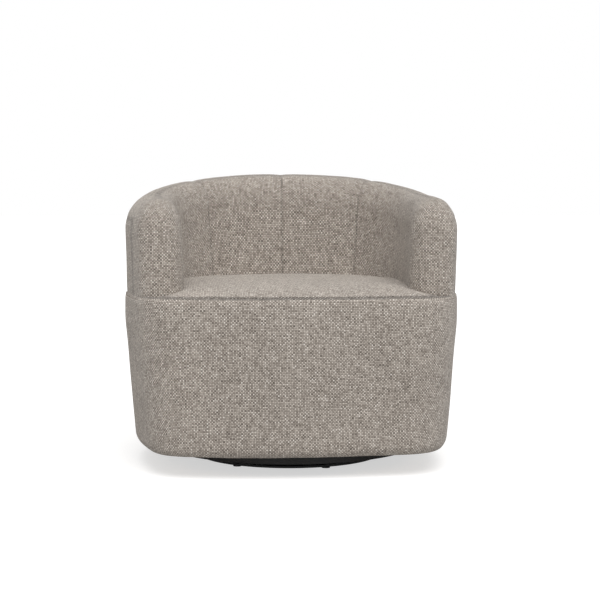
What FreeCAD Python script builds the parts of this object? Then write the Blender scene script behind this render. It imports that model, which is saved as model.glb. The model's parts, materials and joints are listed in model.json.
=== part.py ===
import FreeCAD, Part
import Sketcher
import math
import os

# Swivel rocker: an upholstered barrel chair on a low steel ring.
# The seat turns on a ball plate about the vertical axis and rocks on two pivot pins.
# Millimetres. Origin on the floor on the swivel axis, the front faces -Y, +Z is up.

SIZES = {
    # the chair as a whole
    "width": 805,
    "depth": 770,
    "back_height": 697,
    "seam_height": 415,
    "seat_crown": 25,
    "cover_thick": 2,
    # plan of the lower drum: radii of its tangent arcs as shares of the half width
    "front_bow": 3.66,
    "front_corner": 0.34,
    "side_bow": 2.2,
    "rear_corner": 0.9,
    "back_bow": 1.05,
    "side_middle": -20,
    # lower drum
    "drum_bottom": 50,
    "drum_taper": 26,
    "taper_drop": 65,
    "hem_curl": 26,
    "shoulder_round": 12,
    "shoulder_inset": 12,
    "panel_thick": 25,
    "side_seam": 60,
    # barrel of arms and back; the radii inside it are shares of its half width
    "shoulder_step": 6,
    "arm_flare": 6,
    "arm_thick": 131,
    "back_thick": 142,
    "inner_side_bow": 5.4,
    "inner_corner": 0.78,
    "inner_back_bow": 1.3,
    "inner_side_middle": -57,
    "back_lean": 22,
    "arm_setback": 90,
    "arm_round": 46,
    "roll_front": 44,
    "roll_out": 58,
    "roll_in": 32,
    "roll_high": 72,
    "top_slope": 0.112,
    "seam_across": 0.7,
    "seam_ahead": 38,
    "seam_angle": 42,
    # wooden frame
    "board": 18,
    "hem_thick": 2,
    "deck_drop": 45,
    "deck_side": 180,
    "deck_front": 85,
    "deck_back": 235,
    "plinth_bottom": 28,
    "plinth_inset": 22,
    "mechanism_hole": 198,
    "post_width": 40,
    "post_thick": 30,
    "wall_board": 12,
    "wall_board_depth": 45,
    "wall_board_drop": 112,
    "rail_width": 40,
    "rail_height": 35,
    "rail_across": 130,
    "rail_half": 250,
    "block_along": 215,
    "block_length": 50,
    # seat springs
    "seat_wire": 1.9,
    "seat_loop": 12,
    "seat_run": 26,
    "seat_pitch": 0.35,
    "clip_height": 9,
    "foam_gap": 10,
    # base ring
    "ring_radius": 226,
    "ring_width": 28,
    "steel": 5,
    "glide_height": 4,
    "glide_radius": 10,
    "arm_width": 40,
    # ball plate
    "plate_side": 152,
    "race_thick": 3,
    "ball_radius": 4,
    "ball_circle": 52,
    "race_depth": 1,
    "running": 0.05,
    "cage_width": 16,
    "cage_thick": 2,
    # spindle through the ball plate
    "spindle_radius": 8,
    "spindle_head": 15,
    "spindle_head_thick": 2.5,
    "bush_wall": 4,
    "bush_flange": 19,
    "bush_flange_thick": 3,
    "washer_thick": 2,
    "nut_width": 24,
    "nut_height": 8,
    "screw_radius": 3,
    "screw_circle": 62,
    # swivel plate, yokes and rocker
    "swivel_half": 130,
    "swivel_deep": 120,
    "sheet": 4,
    "yoke_face": 110,
    "yoke_half": 30,
    "yoke_foot": 34,
    "pivot_height": 80,
    "pivot_margin": 15,
    "pin_radius": 6,
    "pin_head": 10,
    "pin_head_thick": 4,
    "pivot_bush_wall": 2,
    "pivot_flange": 11,
    "clip_thick": 1.5,
    "rocker_bottom": 100,
    "rocker_half": 152,
    "rocker_deep": 120,
    "bracket_half": 28,
    "bracket_flange": 36,
    # rocker coil springs
    "coil_radius": 19.5,
    "coil_wire": 2.5,
    "coil_across": 60,
    "coil_along": 85,
    "cup_radius": 24,
    "cup_thick": 2,
    "boss_radius": 15,
    "boss_height": 8,
    # bolts that hold the rocker to the rails
    "bolt_radius": 4,
    "bolt_head": 7,
    "bolt_head_thick": 5,
    "bolt_along": 18,
}

GLIDES = 6
GLIDE_PHASE = -70
BALLS = 16
COIL_TURNS = 6
SEAT_SPRINGS = 5
POST_PLACES = ((0.73, -0.44, 60), (0.73, 0.34, 115), (0.29, -0.81, 5), (0.32, 0.74, 155))
TOP_STEPS = (0, 30, 60, 80)
CROWN_STEPS = (1, 0.94, 0.84, 0.68, 0.45, 0.2)

doc = FreeCAD.newDocument("swivel_rocker")
sheet = doc.addObject("Spreadsheet::Sheet", "Sizes")
for row, (alias, number) in enumerate(SIZES.items(), start=1):
    sheet.set(f"A{row}", alias)
    sheet.set(f"B{row}", str(number))
    sheet.setAlias(f"B{row}", alias)
doc.recompute()

kept = []


def size(alias):
    return float(sheet.get(alias))


def keep(thing, label):
    thing.Label = label
    kept.append(thing)
    return thing


def bind(thing, **expressions):
    for name, expression in expressions.items():
        thing.setExpression(name, expression)
    return thing


def place(thing, x="0", y="0", z="0"):
    thing.setExpression(".Placement.Base.x", x)
    thing.setExpression(".Placement.Base.y", y)
    thing.setExpression(".Placement.Base.z", z)
    return thing


# Heights that follow from the stack of pieces, as expressions of the sheet.
RING_TOP = "(Sizes.glide_height + Sizes.steel)"
RACE_TOP = f"({RING_TOP} + Sizes.race_thick)"
BALL_HEIGHT = f"({RACE_TOP} - Sizes.race_depth + Sizes.ball_radius)"
UPPER_RACE = f"({BALL_HEIGHT} + Sizes.ball_radius - Sizes.race_depth + Sizes.running)"
SWIVEL_BOTTOM = f"({UPPER_RACE} + Sizes.race_thick)"
SWIVEL_TOP = f"({SWIVEL_BOTTOM} + Sizes.sheet)"
BUSH_OUTER = "(Sizes.spindle_radius + Sizes.running + Sizes.bush_wall)"


def half_width():
    return size("width") / 2


def half_depth():
    return size("depth") / 2


def taper_top():
    return size("seam_height") - size("taper_drop")


def deck_top():
    return size("seam_height") - size("deck_drop")


def deck_half():
    return half_width() - size("deck_side")


def arm_front():
    return size("arm_setback") - half_depth()


def ring_top():
    return size("glide_height") + size("steel")


def swivel_bottom():
    ball_top = ring_top() + 2 * size("race_thick") - 2 * size("race_depth") + 2 * size("ball_radius")
    return ball_top + size("running")


def swivel_top():
    return swivel_bottom() + size("sheet")


# Sketches of plates and turned pieces.


def plane(body, role):
    return next(item for item in body.Origin.OriginFeatures if item.Role == role)


def new_sketch(body, name, role="XY_Plane"):
    sketch = body.newObject("Sketcher::SketchObject", name)
    sketch.AttachmentSupport = [(plane(body, role), "")]
    sketch.MapMode = "FlatFace"
    return sketch


def constrain(sketch, kind, *arguments, to=None):
    number = sketch.addConstraint(Sketcher.Constraint(kind, *arguments))
    if to is not None:
        sketch.setExpression(f"Constraints[{number}]", to)
    return number


def add_circle(sketch, radius, across=None, up=None):
    centre = FreeCAD.Vector(40 if across else 0, 40 if up else 0, 0)
    circle = sketch.addGeometry(Part.Circle(centre, FreeCAD.Vector(0, 0, 1), 10), False)
    constrain(sketch, "Radius", circle, 10, to=radius)
    if across:
        constrain(sketch, "DistanceX", -1, 1, circle, 3, 40, to=across)
    if up:
        constrain(sketch, "DistanceY", -1, 1, circle, 3, 40, to=up)
    if not across and not up:
        constrain(sketch, "Coincident", circle, 3, -1, 1)
    elif not across:
        constrain(sketch, "PointOnObject", circle, 3, -2)
    elif not up:
        constrain(sketch, "PointOnObject", circle, 3, -1)


def add_polygon(sketch, corners):
    """Closed outline whose corners are (x, y) expressions of the sheet; None is the axis."""
    count = len(corners)
    guess = [(7 + 11 * index, 5 + 3 * index * index) for index in range(count)]
    for index in range(count):
        here = guess[index]
        there = guess[(index + 1) % count]
        line = Part.LineSegment(FreeCAD.Vector(*here, 0), FreeCAD.Vector(*there, 0))
        sketch.addGeometry(line, False)
    for index in range(count):
        constrain(sketch, "Coincident", index, 2, (index + 1) % count, 1)
    for index, (x, y) in enumerate(corners):
        if x is None:
            constrain(sketch, "PointOnObject", index, 1, -2)
        else:
            constrain(sketch, "DistanceX", -1, 1, index, 1, guess[index][0], to=x)
        if y is None:
            constrain(sketch, "PointOnObject", index, 1, -1)
        else:
            constrain(sketch, "DistanceY", -1, 1, index, 1, guess[index][1], to=y)


def rectangle(half_x, half_y):
    return [(f"-{half_x}", f"-{half_y}"), (half_x, f"-{half_y}"), (half_x, half_y), (f"-{half_x}", half_y)]


def pad(body, sketch, length, midplane=False):
    feature = body.newObject("PartDesign::Pad", f"{sketch.Name}_pad")
    feature.Profile = sketch
    feature.setExpression("Length", length)
    feature.Midplane = midplane
    return feature


def turned(label, corners, height="0"):
    """A turned piece: (radius, height) corners spun about the vertical axis."""
    body = doc.addObject("PartDesign::Body", label)
    sketch = new_sketch(body, f"{label}_profile", "XZ_Plane")
    add_polygon(sketch, corners)
    spin = body.newObject("PartDesign::Revolution", f"{label}_spin")
    spin.Profile = sketch
    spin.ReferenceAxis = (sketch, ["V_Axis"])
    spin.Angle = 360
    place(body, z=height)
    return body


def plate(label, corners, thick, height, holes=()):
    """A flat plate with an outline and round holes, lying at a height."""
    body = doc.addObject("PartDesign::Body", label)
    sketch = new_sketch(body, f"{label}_outline")
    add_polygon(sketch, corners)
    for radius, across, up in holes:
        add_circle(sketch, radius, across, up)
    pad(body, sketch, thick)
    place(body, z=height)
    return body


def four_corners(across, up):
    return [(across, up), (f"-{across}", up), (across, f"-{up}"), (f"-{across}", f"-{up}")]


def copies(shape, places):
    """One compound of a shape repeated at placements."""
    found = []
    for spot in places:
        copy = shape.copy()
        copy.Placement = spot.multiply(copy.Placement)
        found.append(copy)
    return Part.makeCompound(found)


def at(x, y, z=0, turn=0):
    return FreeCAD.Placement(FreeCAD.Vector(x, y, z), FreeCAD.Rotation(FreeCAD.Vector(0, 0, 1), turn))


def group(label, shape, height=0):
    """A node of like pieces, or of a free form, from a shape worked out in code."""
    feature = doc.addObject("Part::Feature", label)
    feature.Shape = shape
    feature.Placement = FreeCAD.Placement(FreeCAD.Vector(0, 0, height), FreeCAD.Rotation())
    return keep(feature, label)


def cylinder(radius, height, x=0, y=0, z=0, axis=(0, 0, 1)):
    return Part.makeCylinder(radius, height, FreeCAD.Vector(x, y, z), FreeCAD.Vector(*axis))


def box(x0, x1, y0, y1, z0, z1):
    return Part.makeBox(x1 - x0, y1 - y0, z1 - z0, FreeCAD.Vector(x0, y0, z0))


# Plan outlines made of tangent arcs. An arc is (centre x, centre y, radius, from, to).


def drum_plan():
    half = half_width()
    return {
        "half": half,
        "front": -half_depth(),
        "front_bow": half * size("front_bow"),
        "front_corner": half * size("front_corner"),
        "bow": half * size("side_bow"),
        "middle": size("side_middle"),
        "corner": half * size("rear_corner"),
        "back": half_depth(),
        "back_bow": half * size("back_bow"),
    }


def inner_plan():
    half = half_width() - size("arm_thick")
    return {
        "half": half,
        "bow": half * size("inner_side_bow"),
        "middle": size("inner_side_middle"),
        "corner": half * size("inner_corner"),
        "back": half_depth() - size("back_thick"),
        "back_bow": half * size("inner_back_bow"),
    }


def inset(plan, amount):
    """The parallel outline an amount further in."""
    moved = {name: value - amount for name, value in plan.items()}
    moved["middle"] = plan["middle"]
    if "front" in plan:
        moved["front"] = plan["front"] + amount
    return moved


def meeting(first, reach, second, other_reach):
    """The point at given distances from two centres, on the left of the way between them."""
    dx = second[0] - first[0]
    dy = second[1] - first[1]
    gap = math.hypot(dx, dy)
    along = (gap * gap + reach * reach - other_reach * other_reach) / (2 * gap)
    off = math.sqrt(reach * reach - along * along)
    base = (first[0] + along * dx / gap, first[1] + along * dy / gap)
    return base[0] - off * dy / gap, base[1] + off * dx / gap


def angle(centre, other):
    return math.atan2(other[1] - centre[1], other[0] - centre[0])


def side_and_back(plan):
    """Centres of the side arc, rear corner and back arc."""
    side = (plan["half"] - plan["bow"], plan["middle"])
    back = (0, plan["back"] - plan["back_bow"])
    corner = meeting(side, plan["bow"] - plan["corner"], back, plan["back_bow"] - plan["corner"])
    return side, corner, back


def rear_arcs(plan, start):
    """Arcs from the angle start on the side round to the back centre."""
    side, corner, back = side_and_back(plan)
    first = angle(side, corner)
    second = angle(back, corner)
    return [
        (*side, plan["bow"], start, first),
        (*corner, plan["corner"], first, second),
        (*back, plan["back_bow"], second, math.pi / 2),
    ]


def drum_arcs(plan):
    front = (0, plan["front"] + plan["front_bow"])
    side, _, _ = side_and_back(plan)
    radius = plan["front_corner"]
    reach = plan["front_bow"] - radius
    corner = meeting(front, reach, side, plan["bow"] - radius)
    first = angle(front, corner)
    second = angle(side, corner)
    arcs = [(*front, plan["front_bow"], -math.pi / 2, first), (*corner, radius, first, second)]
    return arcs + rear_arcs(plan, second)


def arc_points(arc):
    x, y, radius, start, end = arc
    turns = (start, (start + end) / 2, end)
    return [(x + radius * math.cos(turn), y + radius * math.sin(turn)) for turn in turns]


def barrel_points(outer, inner, front, rounding):
    """Right half of the wall of arms and back, from the inner back centre to the outer one."""
    side = side_and_back(outer)[0]
    inner_side = side_and_back(inner)[0]
    level = front + rounding
    reach = outer["bow"] - rounding
    tip = (side[0] + math.sqrt(reach**2 - (level - side[1]) ** 2), level)
    reach = inner["bow"] + rounding
    root = (inner_side[0] + math.sqrt(reach**2 - (level - inner_side[1]) ** 2), level)
    start = angle(inner_side, root)
    inner_run = [arc_points(arc)[::-1] for arc in rear_arcs(inner, start)][::-1]
    heel = arc_points((*root, rounding, start + math.pi, 1.5 * math.pi))
    toe = arc_points((*tip, rounding, -math.pi / 2, angle(side, tip)))
    outer_run = [arc_points(arc) for arc in rear_arcs(outer, angle(side, tip))]
    return inner_run + [heel, [heel[2], toe[0]], toe] + outer_run


def closed_wire(half, lift):
    """A closed wire of a right half and its mirror image, each point raised by lift."""
    mirrored = [[(-x, y) for x, y in run[::-1]] for run in half[::-1]]
    edges = []
    for run in half + mirrored:
        points = [FreeCAD.Vector(*lift(x, y)) for x, y in run]
        if len(points) == 2:
            edges.append(Part.LineSegment(*points).toShape())
        else:
            edges.append(Part.Arc(*points).toShape())
    return Part.Wire(edges)


def drum_wire(amount, height):
    half = [arc_points(arc) for arc in drum_arcs(inset(drum_plan(), amount))]
    return closed_wire(half, lambda x, y: (x, y, height))


def loft(wires):
    return Part.makeLoft(wires, True, True)


def prism(wire, height):
    return Part.Face(wire).extrude(FreeCAD.Vector(0, 0, height))


# The lower drum.


def taper(height):
    """How far the drum has drawn in at a height."""
    top = taper_top()
    return size("drum_taper") * max(0, top - height) / (top - size("drum_bottom"))


def drum(skin):
    """The drum as a closed body, a skin thickness inside its outside."""
    bottom = size("drum_bottom")
    curl = size("hem_curl")
    seam = size("seam_height")
    rounding = size("shoulder_round")
    levels = []
    for turn in (0, 30, 60, 90):
        height = bottom + curl * (1 - math.cos(math.radians(turn)))
        drawn = curl * (1 - math.sin(math.radians(turn)))
        levels.append((height, taper(height) + drawn))
    levels += [(taper_top(), 0), (seam - rounding, 0)]
    levels.append((seam - rounding / 3, size("shoulder_inset") / 3))
    levels.append((seam, size("shoulder_inset")))
    wires = []
    for index, (height, amount) in enumerate(levels):
        inward = skin if index == 0 else 0
        inward = -skin if index == len(levels) - 1 else inward
        wires.append(drum_wire(amount + skin, height + inward))
    return loft(wires)


def drum_core(bottom, top):
    """The space inside the padded panels between two heights."""
    thick = size("panel_thick")
    heights = [bottom, taper_top(), top]
    if not bottom < taper_top() < top:
        heights = [bottom, top]
    return loft([drum_wire(taper(height) + thick, height) for height in heights])


def plinth_radius():
    """The round plinth stands back from the hem."""
    return half_depth() - size("drum_taper") - size("hem_curl") - size("plinth_inset")


def frame_bottom():
    return size("drum_bottom") + size("hem_thick")


def crown(skin):
    """The domed top of the seat."""
    seam = size("seam_height") - skin
    half = [arc_points(arc) for arc in drum_arcs(inset(drum_plan(), size("shoulder_inset") + skin))]
    wires = []
    for step in CROWN_STEPS:
        height = seam + size("seat_crown") * (1 - step**3)
        wires.append(closed_wire(half, lambda x, y: (x * step, y * step, height)))
    return loft(wires)


# The barrel of arms and back.


def barrel(skin):
    """The rounded wall of arms and back, a skin thickness inside its outside."""
    outer = inset(drum_plan(), size("shoulder_step") + skin)
    inner = inset(inner_plan(), -skin)
    front = arm_front() + skin
    rounding = size("arm_round") - skin
    roll_front = size("roll_front") - skin
    roll_out = size("roll_out") - skin
    roll_in = size("roll_in") - skin
    roll_high = size("roll_high") - skin
    slope = size("top_slope")
    ridge = half_depth() - size("shoulder_step") - size("roll_out")
    top = size("back_height") - slope * ridge - skin
    flat = barrel_points(outer, inner, front, rounding)
    flared = inset(outer, -size("arm_flare"))
    wires = [closed_wire(flat, lambda x, y: (x, y, deck_top()))]
    for step in TOP_STEPS:
        turn = math.radians(step)
        share = 1 - math.cos(turn)
        drawn = roll_front * share
        rise = top - roll_high * (1 - math.sin(turn))
        leaned = inset(inner, -roll_in * share)
        leaned["half"] += size("back_lean") / 3
        leaned["back"] += size("back_lean")
        rolled = inset(flared, roll_out * share)
        half = barrel_points(rolled, leaned, front + drawn, rounding - drawn)
        wires.append(closed_wire(half, lambda x, y: (x, y, rise + slope * y)))
    return loft(wires)


def wall_boards():
    """The bent boards that stand inside the barrel."""
    outer = inset(drum_plan(), size("shoulder_step") + size("wall_board_depth"))
    inner = inset(outer, size("wall_board"))
    corner = size("wall_board") / 4
    half = barrel_points(outer, inner, arm_front() + size("wall_board_depth"), corner)
    wire = closed_wire(half, lambda x, y: (x, y, deck_top()))
    return prism(wire, size("back_height") - size("wall_board_drop") - deck_top())


def corner_prism(points):
    """A tall prism over a plan polygon, to part shapes at their seams."""
    wire = Part.makePolygon([FreeCAD.Vector(x, y, 0) for x, y in points + points[:1]])
    return prism(wire, 2 * size("back_height"))


def arm_region(side):
    """Everything in front of the seam between the back and one arm."""
    reach = size("width")
    slope = math.tan(math.radians(size("seam_angle")))
    inner = inner_plan()
    start = inner["back"] - size("seam_ahead") - size("seam_across") * inner["half"] * slope
    far = (side * reach, start + reach * slope)
    return corner_prism([(0, start), far, (side * reach, -reach), (0, -reach)])


def side_region(side, front, back):
    reach = size("width")
    return corner_prism([(0, front), (side * reach, front), (side * reach, back), (0, back)])


def part_of(shape, region):
    piece = shape.common(region)
    return piece.Solids[0] if len(piece.Solids) == 1 else Part.makeCompound(piece.Solids)


def without(shape, *cutters):
    piece = shape
    for cutter in cutters:
        piece = piece.cut(cutter)
    return piece.Solids[0] if len(piece.Solids) == 1 else Part.makeCompound(piece.Solids)


def upholstery():
    """Covers, padding and foam, all in the places that the frame leaves them."""
    reach = size("width")
    seam = size("seam_height")
    skin = size("cover_thick")
    wall = barrel(0)
    wall_foam = barrel(skin)
    boards = wall_boards()
    core = drum_core(frame_bottom(), seam + skin)
    hollow = cylinder(plinth_radius(), frame_bottom())
    padding = without(drum(skin), core, hollow, wall)
    cover = without(drum(0), drum(skin), core, hollow, wall, crown(skin))
    front = box(-reach, reach, -reach, size("side_seam"), 0, reach)
    left = side_region(-1, size("side_seam"), reach)
    right = side_region(1, size("side_seam"), reach)
    for name, region in (("front", front), ("rear_left", left), ("rear_right", right)):
        group(f"{name}_padding", part_of(padding, region))
        group(f"{name}_cover", part_of(cover, region))

    skins = without(wall, wall_foam)
    foam = without(wall_foam, boards)
    left_arm = arm_region(-1)
    right_arm = arm_region(1)
    group("left_arm_cover", part_of(skins, left_arm))
    group("right_arm_cover", part_of(skins, right_arm))
    back_skin = without(skins, left_arm, right_arm)
    group("back_left_cover", part_of(back_skin, side_region(-1, -reach, reach)))
    group("back_right_cover", part_of(back_skin, side_region(1, -reach, reach)))
    group("left_arm_foam", part_of(foam, left_arm))
    group("right_arm_foam", part_of(foam, right_arm))
    group("back_foam", without(foam, left_arm, right_arm))
    group("left_arm_board", part_of(boards, left_arm))
    group("right_arm_board", part_of(boards, right_arm))
    group("back_board", without(boards, left_arm, right_arm))

    seat_bottom = deck_top() + size("foam_gap")
    block = drum_core(seat_bottom, seam - skin).fuse(crown(skin))
    group("seat_foam", without(block, wall))
    group("seat_cover", without(without(crown(0), wall), crown(skin)))


# The wooden frame.


def deck_opening():
    """Front and back edge of the opening in the deck."""
    return size("deck_front") - half_depth(), half_depth() - size("deck_back")


def frame():
    thick = size("board")
    bottom = frame_bottom()
    lower_top = bottom + thick
    deck = deck_top()
    hole = cylinder(size("mechanism_hole"), 2 * thick + bottom)
    low = size("plinth_bottom")
    plinth = cylinder(plinth_radius(), bottom - low, z=low)
    group("plinth_board", without(plinth, hole))
    group("lower_frame", without(drum_core(bottom, lower_top), hole))
    half = deck_half()
    opening = box(-half, half, *deck_opening(), deck - thick, deck)
    group("deck_board", without(drum_core(deck - thick, deck), opening))

    wide = size("post_width") / 2
    deep = size("post_thick") / 2
    post = box(-deep, deep, -wide, wide, lower_top, deck - thick)
    places = []
    for across, along, turn in POST_PLACES:
        x = across * half_width()
        y = along * half_depth()
        places.append(at(x, y, 0, turn - 90))
        places.append(at(-x, y, 0, 90 - turn))
    group("posts", copies(post, places))

    across = size("rail_across")
    half = size("rail_width") / 2
    low = size("rocker_bottom") + size("sheet")
    length = size("rail_half")
    rail = box(-half, half, -length, length, low, low + size("rail_height"))
    for x, y in four_corners_of(0, size("bolt_along"))[::2]:
        rail = rail.cut(cylinder(size("bolt_radius"), size("rail_height"), x, y, low))
    group("mechanism_rails", copies(rail, [at(-across, 0), at(across, 0)]))
    along = size("block_length") / 2
    block = box(-half, half, -along, along, lower_top, low)
    spots = four_corners_of(across, size("block_along"))
    group("rail_blocks", copies(block, [at(x, y) for x, y in spots]))


def four_corners_of(across, along):
    return [(across, along), (-across, along), (across, -along), (-across, -along)]


def seat_spring_path(x, y, height):
    """A flat zigzag of straight runs joined by half turns, from front to back."""
    radius = size("seat_loop")
    half = size("seat_run") / 2
    steps = math.ceil((deck_opening()[1] + radius / 2 - y) / (2 * radius))
    edges = []
    for step in range(steps + 1):
        side = 1 if step % 2 == 0 else -1
        level = y + 2 * radius * step
        start = FreeCAD.Vector(x - side * half, level, height)
        end = FreeCAD.Vector(x + side * half, level, height)
        edges.append(Part.LineSegment(start, end).toShape())
        if step < steps:
            peak = FreeCAD.Vector(x + side * (half + radius), level + radius, height)
            after = FreeCAD.Vector(x + side * half, level + 2 * radius, height)
            edges.append(Part.Arc(end, peak, after).toShape())
    return Part.Wire(edges), y + 2 * radius * steps


def seat_springs():
    wire = size("seat_wire")
    height = deck_top() + size("clip_height") / 2
    front = deck_opening()[0] - size("seat_loop")
    springs = []
    clips = []
    for number in range(SEAT_SPRINGS):
        x = (number - (SEAT_SPRINGS - 1) / 2) * size("seat_pitch") * deck_half()
        path, back = seat_spring_path(x, front, height)
        start = path.Vertexes[0].Point
        circle = Part.Wire(Part.makeCircle(wire, start, FreeCAD.Vector(1, 0, 0)))
        springs.append(path.makePipeShell([circle], True, False))
        for y in (front, back):
            low = deck_top()
            half = size("seat_run") / 2 - 1
            clip = box(x - half, x + half, y - 2 * wire, y + 2 * wire, low, low + size("clip_height"))
            bore = cylinder(wire + size("running"), 2 * half, x - half, y, height, (1, 0, 0))
            clips.append(clip.cut(bore))
    group("seat_springs", Part.makeCompound(springs))
    group("spring_clips", Part.makeCompound(clips))


# The base ring and the ball plate.


def base():
    body = doc.addObject("PartDesign::Body", "base_ring")
    sketch = new_sketch(body, "ring_outline")
    add_circle(sketch, "Sizes.ring_radius")
    add_circle(sketch, "Sizes.ring_radius - Sizes.ring_width")
    pad(body, sketch, "Sizes.steel")
    keep(place(body, z="Sizes.glide_height"), "base_ring")

    inner = size("ring_radius") - size("ring_width")
    half = size("arm_width") / 2
    low = size("glide_height")
    strip = box(-inner - half, inner + half, -half, half, low, low + size("steel"))
    cross = copies(strip, [at(0, 0, 0, 45), at(0, 0, 0, 135)])
    cross = cross.Solids[0].fuse(cross.Solids[1]).removeSplitter()
    cross = cross.common(cylinder(inner, size("steel"), z=low))
    bore = cylinder(size("spindle_radius"), size("steel"), z=low)
    group("cross_plate", without(cross, bore, *screw_bores(low, size("steel"))))

    middle = size("ring_radius") - size("ring_width") / 2
    spots = []
    for number in range(GLIDES):
        turn = math.radians(GLIDE_PHASE + number * 360 / GLIDES)
        spots.append(at(middle * math.cos(turn), middle * math.sin(turn)))
    group("glides", copies(cylinder(size("glide_radius"), size("glide_height")), spots))


def screw_places():
    circle = size("screw_circle") * math.sqrt(2) / 2
    return four_corners_of(circle, circle)


def screw_bores(low, height):
    return [cylinder(size("screw_radius"), height, x, y, low) for x, y in screw_places()]


def race(label, height, track, bore):
    """A pressed square plate with the ball track ploughed into one face."""
    body = doc.addObject("PartDesign::Body", label)
    sketch = new_sketch(body, f"{label}_outline")
    add_polygon(sketch, rectangle("Sizes.plate_side / 2", "Sizes.plate_side / 2"))
    add_circle(sketch, bore)
    pad(body, sketch, "Sizes.race_thick")
    groove_sketch = new_sketch(body, f"{label}_track", "XZ_Plane")
    add_circle(groove_sketch, "Sizes.ball_radius + Sizes.running", "Sizes.ball_circle", track)
    groove = body.newObject("PartDesign::Groove", f"{label}_groove")
    groove.Profile = groove_sketch
    groove.ReferenceAxis = (groove_sketch, ["V_Axis"])
    groove.Angle = 360
    return keep(place(body, z=height), label)


def ball_plate():
    lower_track = "Sizes.race_thick - Sizes.race_depth + Sizes.ball_radius"
    upper_track = "Sizes.race_depth - Sizes.ball_radius - Sizes.running"
    race("lower_race", RING_TOP, lower_track, "Sizes.spindle_radius")
    race("upper_race", UPPER_RACE, upper_track, BUSH_OUTER)

    middle = ring_top() + size("race_thick") - size("race_depth") + size("ball_radius")
    circle = size("ball_circle")
    spots = []
    for number in range(BALLS):
        turn = 2 * math.pi * number / BALLS
        spots.append(at(circle * math.cos(turn), circle * math.sin(turn), middle))
    group("bearing_balls", copies(Part.makeSphere(size("ball_radius")), spots))

    half = size("cage_width") / 2
    low = middle - size("cage_thick") / 2
    cage = cylinder(circle + half, size("cage_thick"), z=low)
    cage = cage.cut(cylinder(circle - half, size("cage_thick"), z=low))
    pocket = Part.makeSphere(size("ball_radius") + size("running"))
    for spot in spots:
        hole = pocket.copy()
        hole.Placement = spot
        cage = cage.cut(hole)
    group("ball_cage", cage)


def spindle():
    """A flat headed bolt up through the ball plate, its nylon bush, washer and nut."""
    shaft = "Sizes.spindle_radius"
    washer_low = f"({SWIVEL_TOP} + Sizes.bush_flange_thick + Sizes.running)"
    nut_low = f"({washer_low} + Sizes.washer_thick)"
    top = f"({nut_low} + Sizes.nut_height + 1)"
    corners = [
        (None, "Sizes.glide_height - Sizes.spindle_head_thick"),
        ("Sizes.spindle_head", "Sizes.glide_height - Sizes.spindle_head_thick"),
        ("Sizes.spindle_head", "Sizes.glide_height"),
        (shaft, "Sizes.glide_height"),
        (shaft, top),
        (None, top),
    ]
    keep(turned("spindle", corners), "spindle")

    inner = "Sizes.spindle_radius + Sizes.running"
    corners = [
        (inner, UPPER_RACE),
        (BUSH_OUTER, UPPER_RACE),
        (BUSH_OUTER, SWIVEL_TOP),
        ("Sizes.bush_flange", SWIVEL_TOP),
        ("Sizes.bush_flange", f"{SWIVEL_TOP} + Sizes.bush_flange_thick"),
        (inner, f"{SWIVEL_TOP} + Sizes.bush_flange_thick"),
    ]
    keep(turned("spindle_bush", corners), "spindle_bush")

    body = doc.addObject("PartDesign::Body", "spindle_washer")
    sketch = new_sketch(body, "washer_outline")
    add_circle(sketch, "Sizes.bush_flange - 1")
    add_circle(sketch, shaft)
    pad(body, sketch, "Sizes.washer_thick")
    keep(place(body, z=washer_low), "spindle_washer")

    blank = doc.addObject("Part::Prism", "nut_blank")
    blank.Polygon = 6
    bind(blank, Circumradius="Sizes.nut_width / 2 / cos(30)", Height="Sizes.nut_height")
    bore = doc.addObject("Part::Cylinder", "nut_bore")
    bind(bore, Radius=shaft, Height="Sizes.nut_height")
    nut = doc.addObject("Part::Cut", "spindle_nut")
    nut.Base = blank
    nut.Tool = bore
    keep(place(nut, z=nut_low), "spindle_nut")


def swivel():
    """The plate that turns, and the two yokes that carry the pivot pins."""
    circle = "Sizes.screw_circle * sqrt(2) / 2"
    holes = [(BUSH_OUTER, None, None)]
    holes += [("Sizes.screw_radius", x, y) for x, y in four_corners(f"({circle})", f"({circle})")]
    outline = rectangle("Sizes.swivel_half", "Sizes.swivel_deep")
    keep(plate("swivel_plate", outline, "Sizes.sheet", SWIVEL_BOTTOM, holes), "swivel_plate")

    head = cylinder(2 * size("screw_radius"), size("screw_radius"), z=swivel_top())
    shank = cylinder(size("screw_radius"), size("sheet"), z=swivel_bottom())
    group("plate_screws", copies(head.fuse(shank), [at(x, y) for x, y in screw_places()]))
    low_head = cylinder(2 * size("screw_radius"), size("screw_radius") / 2)
    shank = cylinder(size("screw_radius"), size("steel"), z=size("glide_height"))
    low_head.Placement = at(0, 0, size("glide_height") - size("screw_radius") / 2)
    group("cross_screws", copies(low_head.fuse(shank), [at(x, y) for x, y in screw_places()]))

    for label, side in (("left_yoke", "-"), ("right_yoke", "")):
        body = doc.addObject("PartDesign::Body", label)
        profile = new_sketch(body, f"{label}_profile", "XZ_Plane")
        face = f"{side}Sizes.yoke_face"
        inside = f"{side}(Sizes.yoke_face - Sizes.sheet)"
        toe = f"{side}(Sizes.yoke_face - Sizes.yoke_foot)"
        top = "Sizes.pivot_height + Sizes.pivot_margin"
        foot_top = f"{SWIVEL_TOP} + Sizes.sheet"
        corners = [(toe, SWIVEL_TOP), (face, SWIVEL_TOP), (face, top)]
        corners += [(inside, top), (inside, foot_top), (toe, foot_top)]
        add_polygon(profile, corners)
        pad(body, profile, "2 * Sizes.yoke_half", midplane=True)
        hole = new_sketch(body, f"{label}_hole", "YZ_Plane")
        add_circle(hole, "Sizes.pin_radius", None, "Sizes.pivot_height")
        pocket = body.newObject("PartDesign::Pocket", f"{label}_bore")
        pocket.Profile = hole
        pocket.setExpression("Length", "3 * Sizes.yoke_face")
        pocket.Midplane = True
        keep(body, label)


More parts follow.
